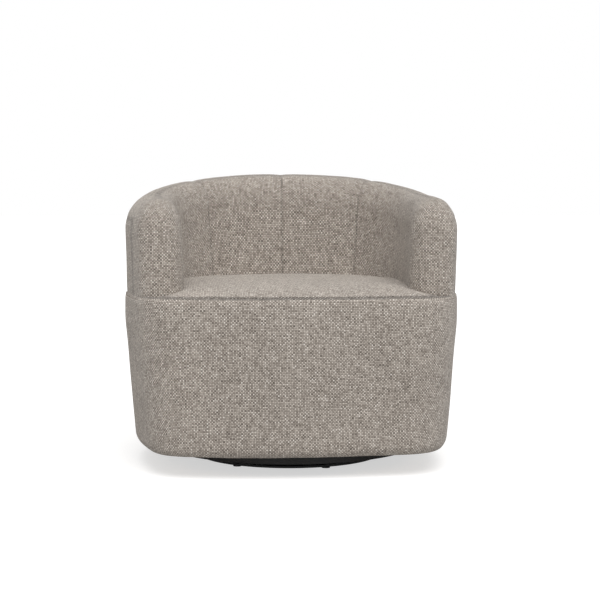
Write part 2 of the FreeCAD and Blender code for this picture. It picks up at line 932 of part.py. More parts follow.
def pivots():
    """Pivot pins, their bushes and clips; the pins run across the chair."""
    radius = size("pin_radius")
    height = size("pivot_height")
    inner = size("yoke_face") - size("sheet")
    bush_start = size("yoke_face") + size("running")
    bracket = bracket_inside()
    bush_end = bracket + size("sheet") + size("running")
    clip_end = bush_end + size("clip_thick")
    pins = []
    bushes = []
    clips = []
    for side in (-1, 1):
        axis = (side, 0, 0)
        head_start = inner - size("pin_head_thick")
        shank = cylinder(radius, clip_end + radius / 2 - inner, side * inner, 0, height, axis)
        head = cylinder(size("pin_head"), size("pin_head_thick"), side * head_start, 0, height, axis)
        neck = cylinder(radius, clip_end, 0, 0, height, axis)
        ring = cylinder(radius + 3, size("clip_thick"), side * bush_end, 0, height, axis)
        clips.append(ring.cut(neck))
        pins.append(shank.fuse(head))
        wall = radius + size("pivot_bush_wall")
        tube = cylinder(wall, bush_end - bush_start, side * bush_start, 0, height, axis)
        flange = cylinder(size("pivot_flange"), bracket - bush_start, side * bush_start, 0, height, axis)
        bore = cylinder(radius + size("running"), bush_end, 0, 0, height, axis)
        bushes.append(tube.fuse(flange).cut(bore))
    group("pivot_pins", Part.makeCompound(pins))
    group("pin_clips", Part.makeCompound(clips))
    group("pivot_bushes", Part.makeCompound(bushes))


def bracket_inside():
    return size("yoke_face") + size("pivot_bush_wall")


def rocker():
    """The rocking plate with its two hanging brackets."""
    bolts = [("Sizes.bolt_radius", x, y) for x, y in four_corners("Sizes.rail_across", "Sizes.bolt_along")]
    outline = rectangle("Sizes.rocker_half", "Sizes.rocker_deep")
    keep(plate("rocker_plate", outline, "Sizes.sheet", "Sizes.rocker_bottom", bolts), "rocker_plate")

    for label, side in (("left_bracket", "-"), ("right_bracket", "")):
        body = doc.addObject("PartDesign::Body", label)
        profile = new_sketch(body, f"{label}_profile", "XZ_Plane")
        near = "(Sizes.yoke_face + Sizes.pivot_bush_wall)"
        inside = f"{side}{near}"
        outside = f"{side}({near} + Sizes.sheet)"
        toe = f"{side}({near} + Sizes.bracket_flange)"
        low = "Sizes.pivot_height - Sizes.pivot_margin"
        under = "Sizes.rocker_bottom - Sizes.sheet"
        top = "Sizes.rocker_bottom"
        corners = [(inside, low), (outside, low), (outside, under)]
        corners += [(toe, under), (toe, top), (inside, top)]
        add_polygon(profile, corners)
        pad(body, profile, "2 * Sizes.bracket_half", midplane=True)
        hole = new_sketch(body, f"{label}_hole", "YZ_Plane")
        add_circle(hole, "Sizes.pin_radius + Sizes.pivot_bush_wall", None, "Sizes.pivot_height")
        pocket = body.newObject("PartDesign::Pocket", f"{label}_bore")
        pocket.Profile = hole
        pocket.setExpression("Length", "3 * Sizes.yoke_face")
        pocket.Midplane = True
        bolt_sketch = new_sketch(body, f"{label}_bolts")
        for up in ("Sizes.bolt_along", "-Sizes.bolt_along"):
            add_circle(bolt_sketch, "Sizes.bolt_radius", f"{side}Sizes.rail_across", up)
        bolt_pocket = body.newObject("PartDesign::Pocket", f"{label}_bolt_bores")
        bolt_pocket.Profile = bolt_sketch
        bolt_pocket.setExpression("Length", "3 * Sizes.rocker_bottom")
        bolt_pocket.Midplane = True
        keep(body, label)

    low = size("rocker_bottom") - size("sheet")
    top = size("rocker_bottom") + size("sheet") + size("rail_height")
    head = cylinder(size("bolt_head"), size("bolt_head_thick"), z=low - size("bolt_head_thick"))
    nut_height = size("bolt_head_thick")
    shank = cylinder(size("bolt_radius"), top - low + nut_height + 1, z=low)
    nut = cylinder(size("bolt_head"), nut_height, z=top).cut(shank)
    spots = [at(x, y) for x, y in four_corners_of(size("rail_across"), size("bolt_along"))]
    group("rail_bolts", copies(head.fuse(shank), spots))
    group("rail_nuts", copies(nut, spots))


def coil_point(turn, start, pitch):
    radius = size("coil_radius")
    height = start + pitch * turn / (2 * math.pi)
    return FreeCAD.Vector(radius * math.cos(turn), radius * math.sin(turn), height)


def coil_tangent(turn, pitch):
    radius = size("coil_radius")
    way = FreeCAD.Vector(-radius * math.sin(turn), radius * math.cos(turn), pitch / (2 * math.pi))
    return way.normalize()


def biarc(start, start_way, end, end_way):
    """Two arcs that leave start and reach end along the given directions."""
    span = end - start
    both = start_way + end_way
    a = both.dot(both) - 4
    b = -2 * span.dot(both)
    c = span.dot(span)
    reach = (-b - math.sqrt(b * b - 4 * a * c)) / (2 * a)
    reach = abs(reach)
    first = start + start_way * reach
    second = end - end_way * reach
    middle = (first + second) * 0.5
    return [tangent_arc(start, start_way, middle), tangent_arc(end, end_way * -1, middle, True)]


def tangent_arc(start, way, end, backwards=False):
    chord = end - start
    normal = chord - way * chord.dot(way)
    normal.normalize()
    radius = chord.dot(chord) / (2 * chord.dot(normal))
    centre = start + normal * radius
    out = (start + end) * 0.5 - centre
    out.normalize()
    peak = centre + out * radius
    if backwards:
        return Part.Arc(end, peak, start).toShape()
    return Part.Arc(start, peak, end).toShape()


def coil(x, y, low, high):
    """A round wire spring of biarcs, a quarter turn each, and the room left between its turns."""
    wire = size("coil_wire")
    pitch = (high - low - 2 * wire) / COIL_TURNS
    start = low + wire
    quarters = 4 * COIL_TURNS
    edges = []
    for number in range(quarters):
        turn = number * math.pi / 2
        after = (number + 1) * math.pi / 2
        ends = (coil_point(turn, start, pitch), coil_point(after, start, pitch))
        edges += biarc(ends[0], coil_tangent(turn, pitch), ends[1], coil_tangent(after, pitch))
    path = Part.Wire(edges)
    circle = Part.Wire(Part.makeCircle(wire, coil_point(0, start, pitch), coil_tangent(0, pitch)))
    tube = path.makePipeShell([circle], True, False)
    tube.Placement = at(x, y)
    return tube, pitch - 2 * wire


def coil_springs():
    """Two coil springs in front and two behind, standing in pressed cups."""
    thick = size("cup_thick")
    low = swivel_top()
    high = size("rocker_bottom")
    across = size("coil_across")
    along = size("coil_along")
    disc = cylinder(size("cup_radius"), thick)
    boss = cylinder(size("boss_radius"), size("boss_height") + thick)
    cup = disc.fuse(boss)
    top_cup = cup.mirror(FreeCAD.Vector(0, 0, 0), FreeCAD.Vector(0, 0, 1))
    spots = four_corners_of(across, along)
    group("lower_cups", copies(cup, [at(x, y, low) for x, y in spots]))
    group("upper_cups", copies(top_cup, [at(x, y, high) for x, y in spots]))
    for label, way in (("front_springs", -1), ("back_springs", 1)):
        tubes = []
        for side in (-1, 1):
            tube, gap = coil(side * across, way * along, low + thick, high - thick)
            tubes.append(tube)
        group(label, Part.makeCompound(tubes))
    print(f"least gap between coils {gap:.2f} mm")


base()
ball_plate()
spindle()
swivel()
pivots()
rocker()
coil_springs()
frame()
seat_springs()
upholstery()
doc.recompute()

for thing in doc.Objects:
    if "Invalid" in thing.State or "Error" in thing.State:
        raise RuntimeError(f"{thing.Name} failed: {thing.State}")
for thing in kept:
    if thing.Shape.isNull() or not thing.Shape.isValid() or not thing.Shape.Solids:
        raise RuntimeError(f"{thing.Label} has no valid shape")

os.makedirs("parts", exist_ok=True)
for thing in kept:
    thing.Shape.exportStep(f"parts/{thing.Label}.step")
    print(f"{thing.Label}: {len(thing.Shape.Solids)} solids, {thing.Shape.Volume:.0f} mm3")
print(f"{len(kept)} nodes")
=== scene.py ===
# %% [markdown]
# # A swivel rocker, dressed around its frame
# The chair is a low padded drum with a wall of arms and back sewn onto it, all in one coarse woven
# cloth. It stands on a flat black ring. The frame holds every hard piece at its true size, so this
# lesson makes what a frame can't: cloth, seams, stitches, and the finish of each material.

# %% Load the frame
import json
import math

import bmesh
import bpy
from mathutils import Matrix, Vector, kdtree, noise
from mathutils.bvhtree import BVHTree


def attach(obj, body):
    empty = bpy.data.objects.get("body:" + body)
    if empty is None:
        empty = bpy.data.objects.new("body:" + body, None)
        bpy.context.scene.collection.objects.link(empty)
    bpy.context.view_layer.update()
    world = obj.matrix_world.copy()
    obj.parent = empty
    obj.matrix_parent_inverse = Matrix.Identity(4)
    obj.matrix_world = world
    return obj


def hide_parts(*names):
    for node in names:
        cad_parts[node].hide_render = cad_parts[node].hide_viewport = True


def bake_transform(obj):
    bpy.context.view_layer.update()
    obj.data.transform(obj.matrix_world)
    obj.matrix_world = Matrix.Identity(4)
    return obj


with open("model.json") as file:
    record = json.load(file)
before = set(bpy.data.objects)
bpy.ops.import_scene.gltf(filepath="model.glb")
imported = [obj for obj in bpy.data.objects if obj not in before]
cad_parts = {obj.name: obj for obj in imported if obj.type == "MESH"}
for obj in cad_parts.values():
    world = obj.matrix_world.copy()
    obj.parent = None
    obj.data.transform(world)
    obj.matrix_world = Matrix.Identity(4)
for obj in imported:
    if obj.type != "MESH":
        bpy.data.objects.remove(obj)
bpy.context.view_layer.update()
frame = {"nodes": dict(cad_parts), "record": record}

# %% [markdown]
# ## Camera
# The picture to match looks slightly down on the chair from nearly four metres, with a long lens.
# The chair is turned a few degrees, so the camera stands a little to the left of its front. It is
# made first, because every later choice is judged through it.

# %% Camera
CHAIR_TURN = math.radians(4.2)
CAMERA_DISTANCE = 3.905
CAMERA_HEIGHT = 0.67
CAMERA_PITCH = math.radians(4.17)
LENS_PIXELS = 1577
PICTURE = 600
SENSOR_WIDTH = 36.0
SIDE_SHIFT = 0.018


def added(name, data):
    """A new object that shows the data, linked into the scene."""
    made = bpy.data.objects.new(name, data)
    bpy.context.scene.collection.objects.link(made)
    return made


camera_data = bpy.data.cameras.new("studio_camera")
camera_data.sensor_width = SENSOR_WIDTH
camera_data.lens = SENSOR_WIDTH * LENS_PIXELS / PICTURE
camera_data.shift_x = SIDE_SHIFT
camera = added("studio_camera", camera_data)
away = Vector((-math.sin(CHAIR_TURN), -math.cos(CHAIR_TURN), 0)) * CAMERA_DISTANCE
camera.location = away + Vector((0, 0, CAMERA_HEIGHT))
camera.rotation_euler = (math.pi / 2 - CAMERA_PITCH, 0, -CHAIR_TURN)
bpy.context.scene.camera = camera
print("lens", round(camera_data.lens, 1), "mm")

# %% [markdown]
# ## Floor and light
# A photographer's sweep: the floor is pale and the background is white. The floor is plain for the
# light that falls on the chair, and only the camera sees it lighter, so that it meets the white
# background and still keeps the shadow. One broad sun stands high in front, a little to the
# right, and the world fills the rest evenly.

# %% Floor, world and sun
FLOOR_COLOUR = (0.53, 0.525, 0.52, 1)
FLOOR_GLOW = 0.60
FILL_STRENGTH = 0.56
SUN_STRENGTH = 2.45
SUN_WIDTH = math.radians(50)
SUN_DIRECTION = Vector((-0.08, 0.56, -1.0))


def new_material(name):
    material = bpy.data.materials.new(name)
    material.use_nodes = True
    material.node_tree.nodes.clear()
    return material, material.node_tree.nodes, material.node_tree.links


floor_material, nodes, links = new_material("pale_floor")
output = nodes.new("ShaderNodeOutputMaterial")
plain = nodes.new("ShaderNodeBsdfDiffuse")
plain.inputs["Color"].default_value = FLOOR_COLOUR
lift = nodes.new("ShaderNodeEmission")
lift.inputs["Color"].default_value = (1, 1, 1, 1)
path = nodes.new("ShaderNodeLightPath")
share = nodes.new("ShaderNodeMath")
share.operation = "MULTIPLY"
share.inputs[1].default_value = FLOOR_GLOW
links.new(path.outputs["Is Camera Ray"], share.inputs[0])
links.new(share.outputs[0], lift.inputs["Strength"])
both = nodes.new("ShaderNodeAddShader")
links.new(plain.outputs[0], both.inputs[0])
links.new(lift.outputs[0], both.inputs[1])
links.new(both.outputs[0], output.inputs["Surface"])

floor_mesh = bpy.data.meshes.new("floor")
bm = bmesh.new()
bmesh.ops.create_grid(bm, x_segments=1, y_segments=1, size=30)
bm.to_mesh(floor_mesh)
bm.free()
floor = added("floor", floor_mesh)
floor_mesh.materials.append(floor_material)

world = bpy.data.worlds.new("studio")
bpy.context.scene.world = world
world.use_nodes = True
nodes, links = world.node_tree.nodes, world.node_tree.links
nodes.clear()
world_output = nodes.new("ShaderNodeOutputWorld")
fill = nodes.new("ShaderNodeBackground")
fill.inputs["Color"].default_value = (1.0, 0.99, 0.98, 1)
fill.inputs["Strength"].default_value = FILL_STRENGTH
white = nodes.new("ShaderNodeBackground")
white.inputs["Color"].default_value = (1, 1, 1, 1)
white.inputs["Strength"].default_value = 1.0
path = nodes.new("ShaderNodeLightPath")
seen = nodes.new("ShaderNodeMath")
seen.operation = "MAXIMUM"
links.new(path.outputs["Is Camera Ray"], seen.inputs[0])
links.new(path.outputs["Is Glossy Ray"], seen.inputs[1])
choose = nodes.new("ShaderNodeMixShader")
links.new(seen.outputs[0], choose.inputs["Fac"])
links.new(fill.outputs[0], choose.inputs[1])
links.new(white.outputs[0], choose.inputs[2])
links.new(choose.outputs[0], world_output.inputs["Surface"])

sun_data = bpy.data.lights.new("sun", "SUN")
sun_data.energy = SUN_STRENGTH
sun_data.angle = SUN_WIDTH
sun = added("sun", sun_data)
sun.rotation_euler = SUN_DIRECTION.to_track_quat("-Z", "Y").to_euler()
bpy.context.scene.view_settings.view_transform = "Standard"
print("studio ready")

# %% [markdown]
# ## Shader groups
# Materials here share a few effects. The woven cloth is a plain weave: two sets of thick yarns
# cross over and under each other, and each yarn is spun from light and dark wool. The warp is the
# lighter set, so the cloth looks like a fine checker of cream, taupe and brown. The pattern is
# worked out from two distances measured along the cloth, which each piece stores in its own UV
# map, in metres.

# %% Helpers for node groups


def group_tree(name, inputs, outputs):
    """A shader group with named float, vector or colour sockets."""
    tree = bpy.data.node_groups.new(name, "ShaderNodeTree")
    for label, kind, value in inputs:
        socket = tree.interface.new_socket(name=label, in_out="INPUT", socket_type=kind)
        if value is not None:
            socket.default_value = value
    for label, kind in outputs:
        tree.interface.new_socket(name=label, in_out="OUTPUT", socket_type=kind)
    return tree, tree.nodes.new("NodeGroupInput"), tree.nodes.new("NodeGroupOutput")


def feed(tree, value, socket):
    """Sets a socket to a number, or links another socket into it."""
    if isinstance(value, (int, float)):
        socket.default_value = value
    else:
        tree.links.new(value, socket)


def calculate(tree, operation, *values):
    """A Math node; each value is a socket or a number."""
    node = tree.nodes.new("ShaderNodeMath")
    node.operation = operation
    for index, value in enumerate(values):
        feed(tree, value, node.inputs[index])
    return node.outputs[0]


def noise_of(tree, vector, scale, detail):
    node = tree.nodes.new("ShaderNodeTexNoise")
    node.inputs["Detail"].default_value = detail
    feed(tree, vector, node.inputs["Vector"])
    feed(tree, scale, node.inputs["Scale"])
    return node.outputs["Fac"]


def dice(tree, x, y, z):
    """A random number between 0 and 1 for each whole place x, y, z."""
    place = tree.nodes.new("ShaderNodeCombineXYZ")
    for index, value in enumerate((x, y, z)):
        feed(tree, value, place.inputs[index])
    node = tree.nodes.new("ShaderNodeTexWhiteNoise")
    node.noise_dimensions = "3D"
    tree.links.new(place.outputs[0], node.inputs["Vector"])
    return node.outputs["Value"]


def chosen(tree, switch, low, high):
    """A Mix node: low where the switch is 0, high where it is 1."""
    node = tree.nodes.new("ShaderNodeMix")
    tree.links.new(switch, node.inputs["Factor"])
    tree.links.new(low, node.inputs["A"])
    tree.links.new(high, node.inputs["B"])
    return node.outputs["Result"]


print("node helpers ready")


# %% Woven cloth group
FLOAT, VECTOR = "NodeSocketFloat", "NodeSocketVector"
WANDER_SCALE, WANDER = 16.0, 0.3
YARN_BELLY = 0.4
TONE_RUN = 0.3
WARP_LIGHT, TONE_SHARE = 0.34, 0.68
GAP_POWER = 1.6
CROSSING_SEED, WARP_SEED, WEFT_SEED = 3.0, 7.0, 11.0

weave_group, given, result = group_tree(
    "woven_cloth",
    [("Cloth", VECTOR, None), ("Yarn", FLOAT, 0.0038), ("Slub", FLOAT, 0.5)],
    [("Height", FLOAT), ("Tone", FLOAT), ("Gap", FLOAT)],
)
t = weave_group
parts = t.nodes.new("ShaderNodeSeparateXYZ")
t.links.new(given.outputs["Cloth"], parts.inputs[0])
wander = noise_of(t, given.outputs["Cloth"], WANDER_SCALE, 2.0)
wander = calculate(t, "MULTIPLY_ADD", wander, WANDER, -WANDER / 2)
across = calculate(t, "DIVIDE", parts.outputs[0], given.outputs["Yarn"])
along = calculate(t, "DIVIDE", parts.outputs[1], given.outputs["Yarn"])
across = calculate(t, "ADD", across, wander)
along = calculate(t, "SUBTRACT", along, wander)
wave_across = calculate(t, "SINE", calculate(t, "MULTIPLY", across, math.pi))
wave_along = calculate(t, "SINE", calculate(t, "MULTIPLY", along, math.pi))
checker = calculate(t, "MULTIPLY", wave_across, wave_along)
warp_up = calculate(t, "GREATER_THAN", checker, 0.0)
size_across = calculate(t, "ABSOLUTE", wave_across)
size_along = calculate(t, "ABSOLUTE", wave_along)
warp_form = calculate(t, "MULTIPLY", size_across, calculate(t, "POWER", size_along, YARN_BELLY))
weft_form = calculate(t, "MULTIPLY", size_along, calculate(t, "POWER", size_across, YARN_BELLY))
form = chosen(t, warp_up, weft_form, warp_form)
column = calculate(t, "FLOOR", across)
row = calculate(t, "FLOOR", along)
row_run = calculate(t, "FLOOR", calculate(t, "MULTIPLY", row, TONE_RUN))
column_run = calculate(t, "FLOOR", calculate(t, "MULTIPLY", column, TONE_RUN))
crossing = dice(t, column, row, CROSSING_SEED)
warp_colour = dice(t, column, row_run, WARP_SEED)
weft_colour = dice(t, column_run, row, WEFT_SEED)
yarn_colour = chosen(t, warp_up, weft_colour, warp_colour)
yarn_tone = calculate(t, "MULTIPLY", yarn_colour, given.outputs["Slub"])
rest = calculate(t, "SUBTRACT", 1.0, given.outputs["Slub"])
tone = calculate(t, "MULTIPLY_ADD", crossing, rest, yarn_tone)
lighter_warp = calculate(t, "MULTIPLY", warp_up, WARP_LIGHT)
tone = calculate(t, "MULTIPLY_ADD", tone, TONE_SHARE, lighter_warp)
t.links.new(form, result.inputs["Height"])
t.links.new(tone, result.inputs["Tone"])
# the gap mask, which the cloth uses for painted shade between yarns
gap = calculate(t, "SUBTRACT", 1.0, form)
t.links.new(calculate(t, "POWER", gap, GAP_POWER), result.inputs["Gap"])
print("woven_cloth", len(t.nodes), "nodes")

# %% Speckle group, for metal, plastic, board and foam
speckle_group, given, result = group_tree(
    "speckle",
    [("Place", VECTOR, None), ("Fine", FLOAT, 900.0), ("Coarse", FLOAT, 18.0)],
    [("Grain", FLOAT), ("Cloud", FLOAT)],
)
t = speckle_group
for label, scale in (("Grain", "Fine"), ("Cloud", "Coarse")):
    speckles = noise_of(t, given.outputs["Place"], given.outputs[scale], 3.0)
    t.links.new(speckles, result.inputs[label])
print("speckle", len(t.nodes), "nodes")

# %% [markdown]
# ## The cloth's finish
# The cloth is the whole look of this chair. Its colour comes from the tone of each yarn through a
# ramp from dark brown to cream, with painted shade in the gaps between yarns and darker painted
# shade along the seams, which each piece marks in an attribute called seam. The bump is the yarn's
# own round form. A little sheen stands for the loose wool fibres.

# %% Cloth material
CLOTH_TONES = (
    (0.00, (0.150, 0.128, 0.108)),
    (0.22, (0.290, 0.250, 0.215)),
    (0.55, (0.490, 0.435, 0.383)),
    (0.85, (0.740, 0.675, 0.605)),
    (1.00, (0.880, 0.825, 0.760)),
)
YARN_WIDTH, SLUB = 0.0038, 0.4
CLOUD_RANGE, CLOUD_BASE = 0.16, 0.96
# strengths of the painted shade in the gaps between yarns and along the seams
GAP_SHADE, SEAM_SHADE_STRENGTH = 0.70, 0.5
FUZZ, YARN_HEIGHT, BUMP_STRENGTH = 0.25, 0.0011, 0.8


def place_group(nodes, tree, **values):
    node = nodes.new("ShaderNodeGroup")
    node.node_tree = tree
    for label, value in values.items():
        node.inputs[label].default_value = value
    return node


def tone_ramp(nodes, stops):
    ramp = nodes.new("ShaderNodeValToRGB")
    elements = ramp.color_ramp.elements
    while len(elements) < len(stops):
        elements.new(0.5)
    for element, (position, colour) in zip(elements, stops):
        element.position = position
        element.color = (*colour, 1)
    return ramp


def shaded(name, roughness, metallic=0.0):
    """A material with its output and shader joined, and the shader handed back."""
    material, nodes, links = new_material(name)
    output = nodes.new("ShaderNodeOutputMaterial")
    shader = nodes.new("ShaderNodeBsdfPrincipled")
    shader.inputs["Roughness"].default_value = roughness
    shader.inputs["Metallic"].default_value = metallic
    links.new(shader.outputs[0], output.inputs["Surface"])
    return material, nodes, links, shader


def bumped(nodes, links, shader, height, distance, strength=1.0):
    bump = nodes.new("ShaderNodeBump")
    bump.inputs["Distance"].default_value = distance
    bump.inputs["Strength"].default_value = strength
    links.new(height, bump.inputs["Height"])
    links.new(bump.outputs[0], shader.inputs["Normal"])


cloth, nodes, links, shader = shaded("greige_weave", 0.92)
shader.inputs["Sheen Weight"].default_value = 0.18
shader.inputs["Sheen Roughness"].default_value = 0.5
shader.inputs["Specular IOR Level"].default_value = 0.2
uv = nodes.new("ShaderNodeUVMap")
uv.uv_map = "cloth"
weave = place_group(nodes, weave_group, Yarn=YARN_WIDTH, Slub=SLUB)
links.new(uv.outputs[0], weave.inputs["Cloth"])
ramp = tone_ramp(nodes, CLOTH_TONES)
links.new(weave.outputs["Tone"], ramp.inputs["Fac"])
clouds = place_group(nodes, speckle_group, Fine=260.0, Coarse=5.0)
coordinates = nodes.new("ShaderNodeTexCoord")
links.new(coordinates.outputs["Object"], clouds.inputs["Place"])
t = cloth.node_tree
shade = calculate(t, "MULTIPLY_ADD", clouds.outputs["Cloud"], CLOUD_RANGE, CLOUD_BASE)
# painted shade in the gaps between yarns
shade = calculate(t, "SUBTRACT", shade, calculate(t, "MULTIPLY", weave.outputs["Gap"], GAP_SHADE))
# painted shade along the seams, read from the seam attribute
seam = nodes.new("ShaderNodeAttribute")
seam.attribute_name = "seam"
dark = calculate(t, "MULTIPLY_ADD", seam.outputs["Fac"], -SEAM_SHADE_STRENGTH, 1.0)
shade = calculate(t, "MULTIPLY", shade, dark)
tint = nodes.new("ShaderNodeVectorMath")
tint.operation = "SCALE"
links.new(ramp.outputs[0], tint.inputs[0])
links.new(shade, tint.inputs["Scale"])
links.new(tint.outputs[0], shader.inputs["Base Color"])
fuzz = calculate(t, "MULTIPLY_ADD", clouds.outputs["Grain"], FUZZ, weave.outputs["Height"])
bumped(nodes, links, shader, fuzz, YARN_HEIGHT, BUMP_STRENGTH)
print("cloth material", len(nodes), "nodes")

# %% [markdown]
# ## Outlines by spinning
# Seen from above, the drum is a chain of arcs that run smoothly into each other, and so is the
# wall of arms and back. A point spun about one centre after another draws exactly that. The
# direction away from each centre is kept with every point: moving points along it gives the
# parallel outline, which is how a rounded edge or a rolled arm is made out of one chain.

# %% Plans of the drum and the barrel
HALF, DEEP = 0.4025, 0.385
ARM_THICK, BACK_THICK = 0.131, 0.142
DRUM = {
    "half": HALF, "front": -DEEP, "front_bow": 3.66 * HALF, "front_corner": 0.34 * HALF,
    "bow": 2.2 * HALF, "middle": -0.020, "corner": 0.9 * HALF, "back": DEEP, "back_bow": 1.05 * HALF,
}
INNER_HALF = HALF - ARM_THICK
INNER = {
    "half": INNER_HALF, "bow": 5.4 * INNER_HALF, "middle": -0.057, "corner": 0.78 * INNER_HALF,
    "back": DEEP - BACK_THICK, "back_bow": 1.3 * INNER_HALF,
}
ARM_FRONT = -0.295
ARM_ROUND, HEEL_ROUND = 0.046, 0.058
WALL_STEP = 0.006


def parallel(plan, amount):
    """The parallel outline an amount further in."""
    moved = {name: value - amount for name, value in plan.items()}
    moved["middle"] = plan["middle"]
    if "front" in plan:
        moved["front"] = plan["front"] + amount
    return moved


def meeting(first, reach, second, other):
    """The centre at given distances from two others, on the left of the way between them."""
    way = Vector(second) - Vector(first)
    gap = way.length
    along = (gap * gap + reach * reach - other * other) / (2 * gap)
    off = math.sqrt(reach * reach - along * along)
    way /= gap
    return Vector(first) + way * along + Vector((-way.y, way.x)) * off


def bearing(centre, point):
    return math.atan2(point[1] - centre[1], point[0] - centre[0])


def rear_arcs(plan, start):
    """Side, rear corner and back as (centre, radius, from, to), ending at the back centre."""
    side = Vector((plan["half"] - plan["bow"], plan["middle"]))
    back = Vector((0, plan["back"] - plan["back_bow"]))
    corner = meeting(side, plan["bow"] - plan["corner"], back, plan["back_bow"] - plan["corner"])
    first, second = bearing(side, corner), bearing(back, corner)
    return [
        (side, plan["bow"], start, first),
        (corner, plan["corner"], first, second),
        (back, plan["back_bow"], second, math.pi / 2),
    ]


def drum_arcs(plan):
    front = Vector((0, plan["front"] + plan["front_bow"]))
    side = Vector((plan["half"] - plan["bow"], plan["middle"]))
    radius = plan["front_corner"]
    corner = meeting(front, plan["front_bow"] - radius, side, plan["bow"] - radius)
    first, second = bearing(front, corner), bearing(side, corner)
    arcs = [(front, plan["front_bow"], -math.pi / 2, first), (corner, radius, first, second)]
    return arcs + rear_arcs(plan, second)


def barrel_arcs():
    """The inner run from the back centre to the arm, round its front, and the outer run back."""
    outer, inner = parallel(DRUM, WALL_STEP), INNER
    level = ARM_FRONT + ARM_ROUND
    side = Vector((outer["half"] - outer["bow"], outer["middle"]))
    reach = outer["bow"] - ARM_ROUND
    toe = Vector((side.x + math.sqrt(reach**2 - (level - side.y) ** 2), level))
    inner_side = Vector((inner["half"] - inner["bow"], inner["middle"]))
    reach = inner["bow"] + HEEL_ROUND
    heel_level = ARM_FRONT + HEEL_ROUND
    heel = Vector((inner_side.x + math.sqrt(reach**2 - (heel_level - inner_side.y) ** 2), heel_level))
    start = bearing(inner_side, heel)
    inner_run = [(c, r, b, a) for c, r, a, b in rear_arcs(inner, start)][::-1]
    outer_run = rear_arcs(outer, bearing(side, toe))
    ends = [
        (heel, HEEL_ROUND, start + math.pi, 1.5 * math.pi),
        (toe, ARM_ROUND, -math.pi / 2, bearing(side, toe)),
    ]
    return inner_run, ends, outer_run


print(len(drum_arcs(DRUM)), "arcs in half of the drum's outline")

# %% Draw a chain of arcs in a mesh


class Chain:
    """A half outline drawn by spinning one point, kept as layers on its points.

    run is the distance from the start, away_x and away_y the outward direction, kind the arc,
    home_x and home_y the place on the outline, and rise the way up the cloth."""

    def __init__(self):
        self.bm = bmesh.new()
        layers = self.bm.verts.layers
        self.run = layers.float.new("run")
        self.away_x = layers.float.new("away_x")
        self.away_y = layers.float.new("away_y")
        self.home_x = layers.float.new("home_x")
        self.home_y = layers.float.new("home_y")
        self.rise = layers.float.new("rise")
        self.kind = layers.int.new("kind")
        self.length = 0.0
        self.last = None

    def arc(self, centre, radius, start, end, pitch, kind, side=1):
        """Spins on from the last point; side is -1 where the outline is hollow."""
        if self.last is None:
            first = centre + radius * Vector((math.cos(start), math.sin(start)))
            self.last = self.bm.verts.new((first.x, first.y, 0))
            self.mark(self.last, centre, side, 0.0, kind)
        steps = max(2, round(abs(end - start) * radius / pitch))
        known = set(self.bm.verts)
        bmesh.ops.spin(
            self.bm, geom=[self.last], cent=(*centre, 0), axis=(0, 0, 1),
            angle=end - start, steps=steps, use_merge=False, use_duplicate=False,
        )
        made = [v for v in self.bm.verts if v not in known]
        made.sort(key=lambda v: abs(turned_from(centre, start, v.co)))
        for index, vert in enumerate(made, start=1):
            part = abs(end - start) * radius * index / steps
            self.mark(vert, centre, side, self.length + part, kind)
        self.length += abs(end - start) * radius
        self.last = made[-1]

    def straight(self, target, steps, kind):
        """Steps on to a target point, keeping the last direction."""
        start = self.last.co.copy()
        away = (self.last[self.away_x], self.last[self.away_y])
        for index in range(1, steps + 1):
            made = bmesh.ops.extrude_vert_indiv(self.bm, verts=[self.last])["verts"][0]
            made.co = start.lerp(Vector((*target, 0)), index / steps)
            made[self.run] = self.length + (made.co - start).length
            made[self.away_x], made[self.away_y] = away
            made[self.kind] = kind
            self.last = made
        self.length += (self.last.co - start).length

    def mark(self, vert, centre, side, run, kind):
        away = (vert.co.xy - centre).normalized() * side
        vert[self.away_x], vert[self.away_y] = away
        vert[self.run] = run
        vert[self.kind] = kind

    def close(self):
        """Mirrors the half outline in the chair's middle plane and keeps each point's home."""
        geometry = self.bm.verts[:] + self.bm.edges[:]
        known = set(self.bm.verts)
        bmesh.ops.mirror(self.bm, geom=geometry, matrix=Matrix.Identity(4), merge_dist=0, axis="X")
        for vert in self.bm.verts:
            if vert not in known:
                vert[self.away_x] *= -1
        bmesh.ops.remove_doubles(self.bm, verts=self.bm.verts[:], dist=1e-5)
        for vert in self.bm.verts:
            vert[self.home_x], vert[self.home_y] = vert.co.x, vert.co.y
        return self.bm.edges[:]

    def home(self, vert):
        return Vector((vert[self.home_x], vert[self.home_y]))

    def away(self, vert):
        return Vector((vert[self.away_x], vert[self.away_y]))


def turned_from(centre, start, point):
    """The angle from start to a point, seen from a centre, between -pi and pi."""
    turn = bearing(centre, point) - start
    return (turn + math.pi) % (2 * math.pi) - math.pi


def raise_row(chain, ring, place, rise):
    """Extrudes a ring of edges and puts each new point where place says."""
    made = bmesh.ops.extrude_edge_only(chain.bm, edges=ring)["geom"]
    verts = [g for g in made if isinstance(g, bmesh.types.BMVert)]
    fresh = set(verts)
    for vert in verts:
        vert.co = place(vert)
        vert[chain.rise] = rise
    return [g for g in made if isinstance(g, bmesh.types.BMEdge) and set(g.verts) <= fresh]


def lift_ring(chain, ring, place):
    for vert in {v for e in ring for v in e.verts}:
        vert.co = place(vert)


print("outline helpers ready")

# %% [markdown]
# ## Seams and softness
# Cloth over padding is never a ruled surface. It swells a few millimetres between seams, dips
# sharply where two panels are sewn together, and is slightly uneven everywhere. Each piece gets
# these from one function, after its main form is made and before it is parted at its seams. The
# same function marks the points near a seam, for painted shade along the seam line in the cloth.

# %% Soften a form
COARSE_LUMPS, FINE_LUMPS = 6.5, 17.0
# width of the painted shade along a seam line
SEAM_SHADE_WIDTH = 0.0020
CUT_SLACK = 1e-6


def smooth_step(value):
    value = min(1.0, max(0.0, value))
    return value * value * (3 - 2 * value)


def seam_shade_layer(bm):
    return bm.verts.layers.float.get("seam") or bm.verts.layers.float.new("seam")


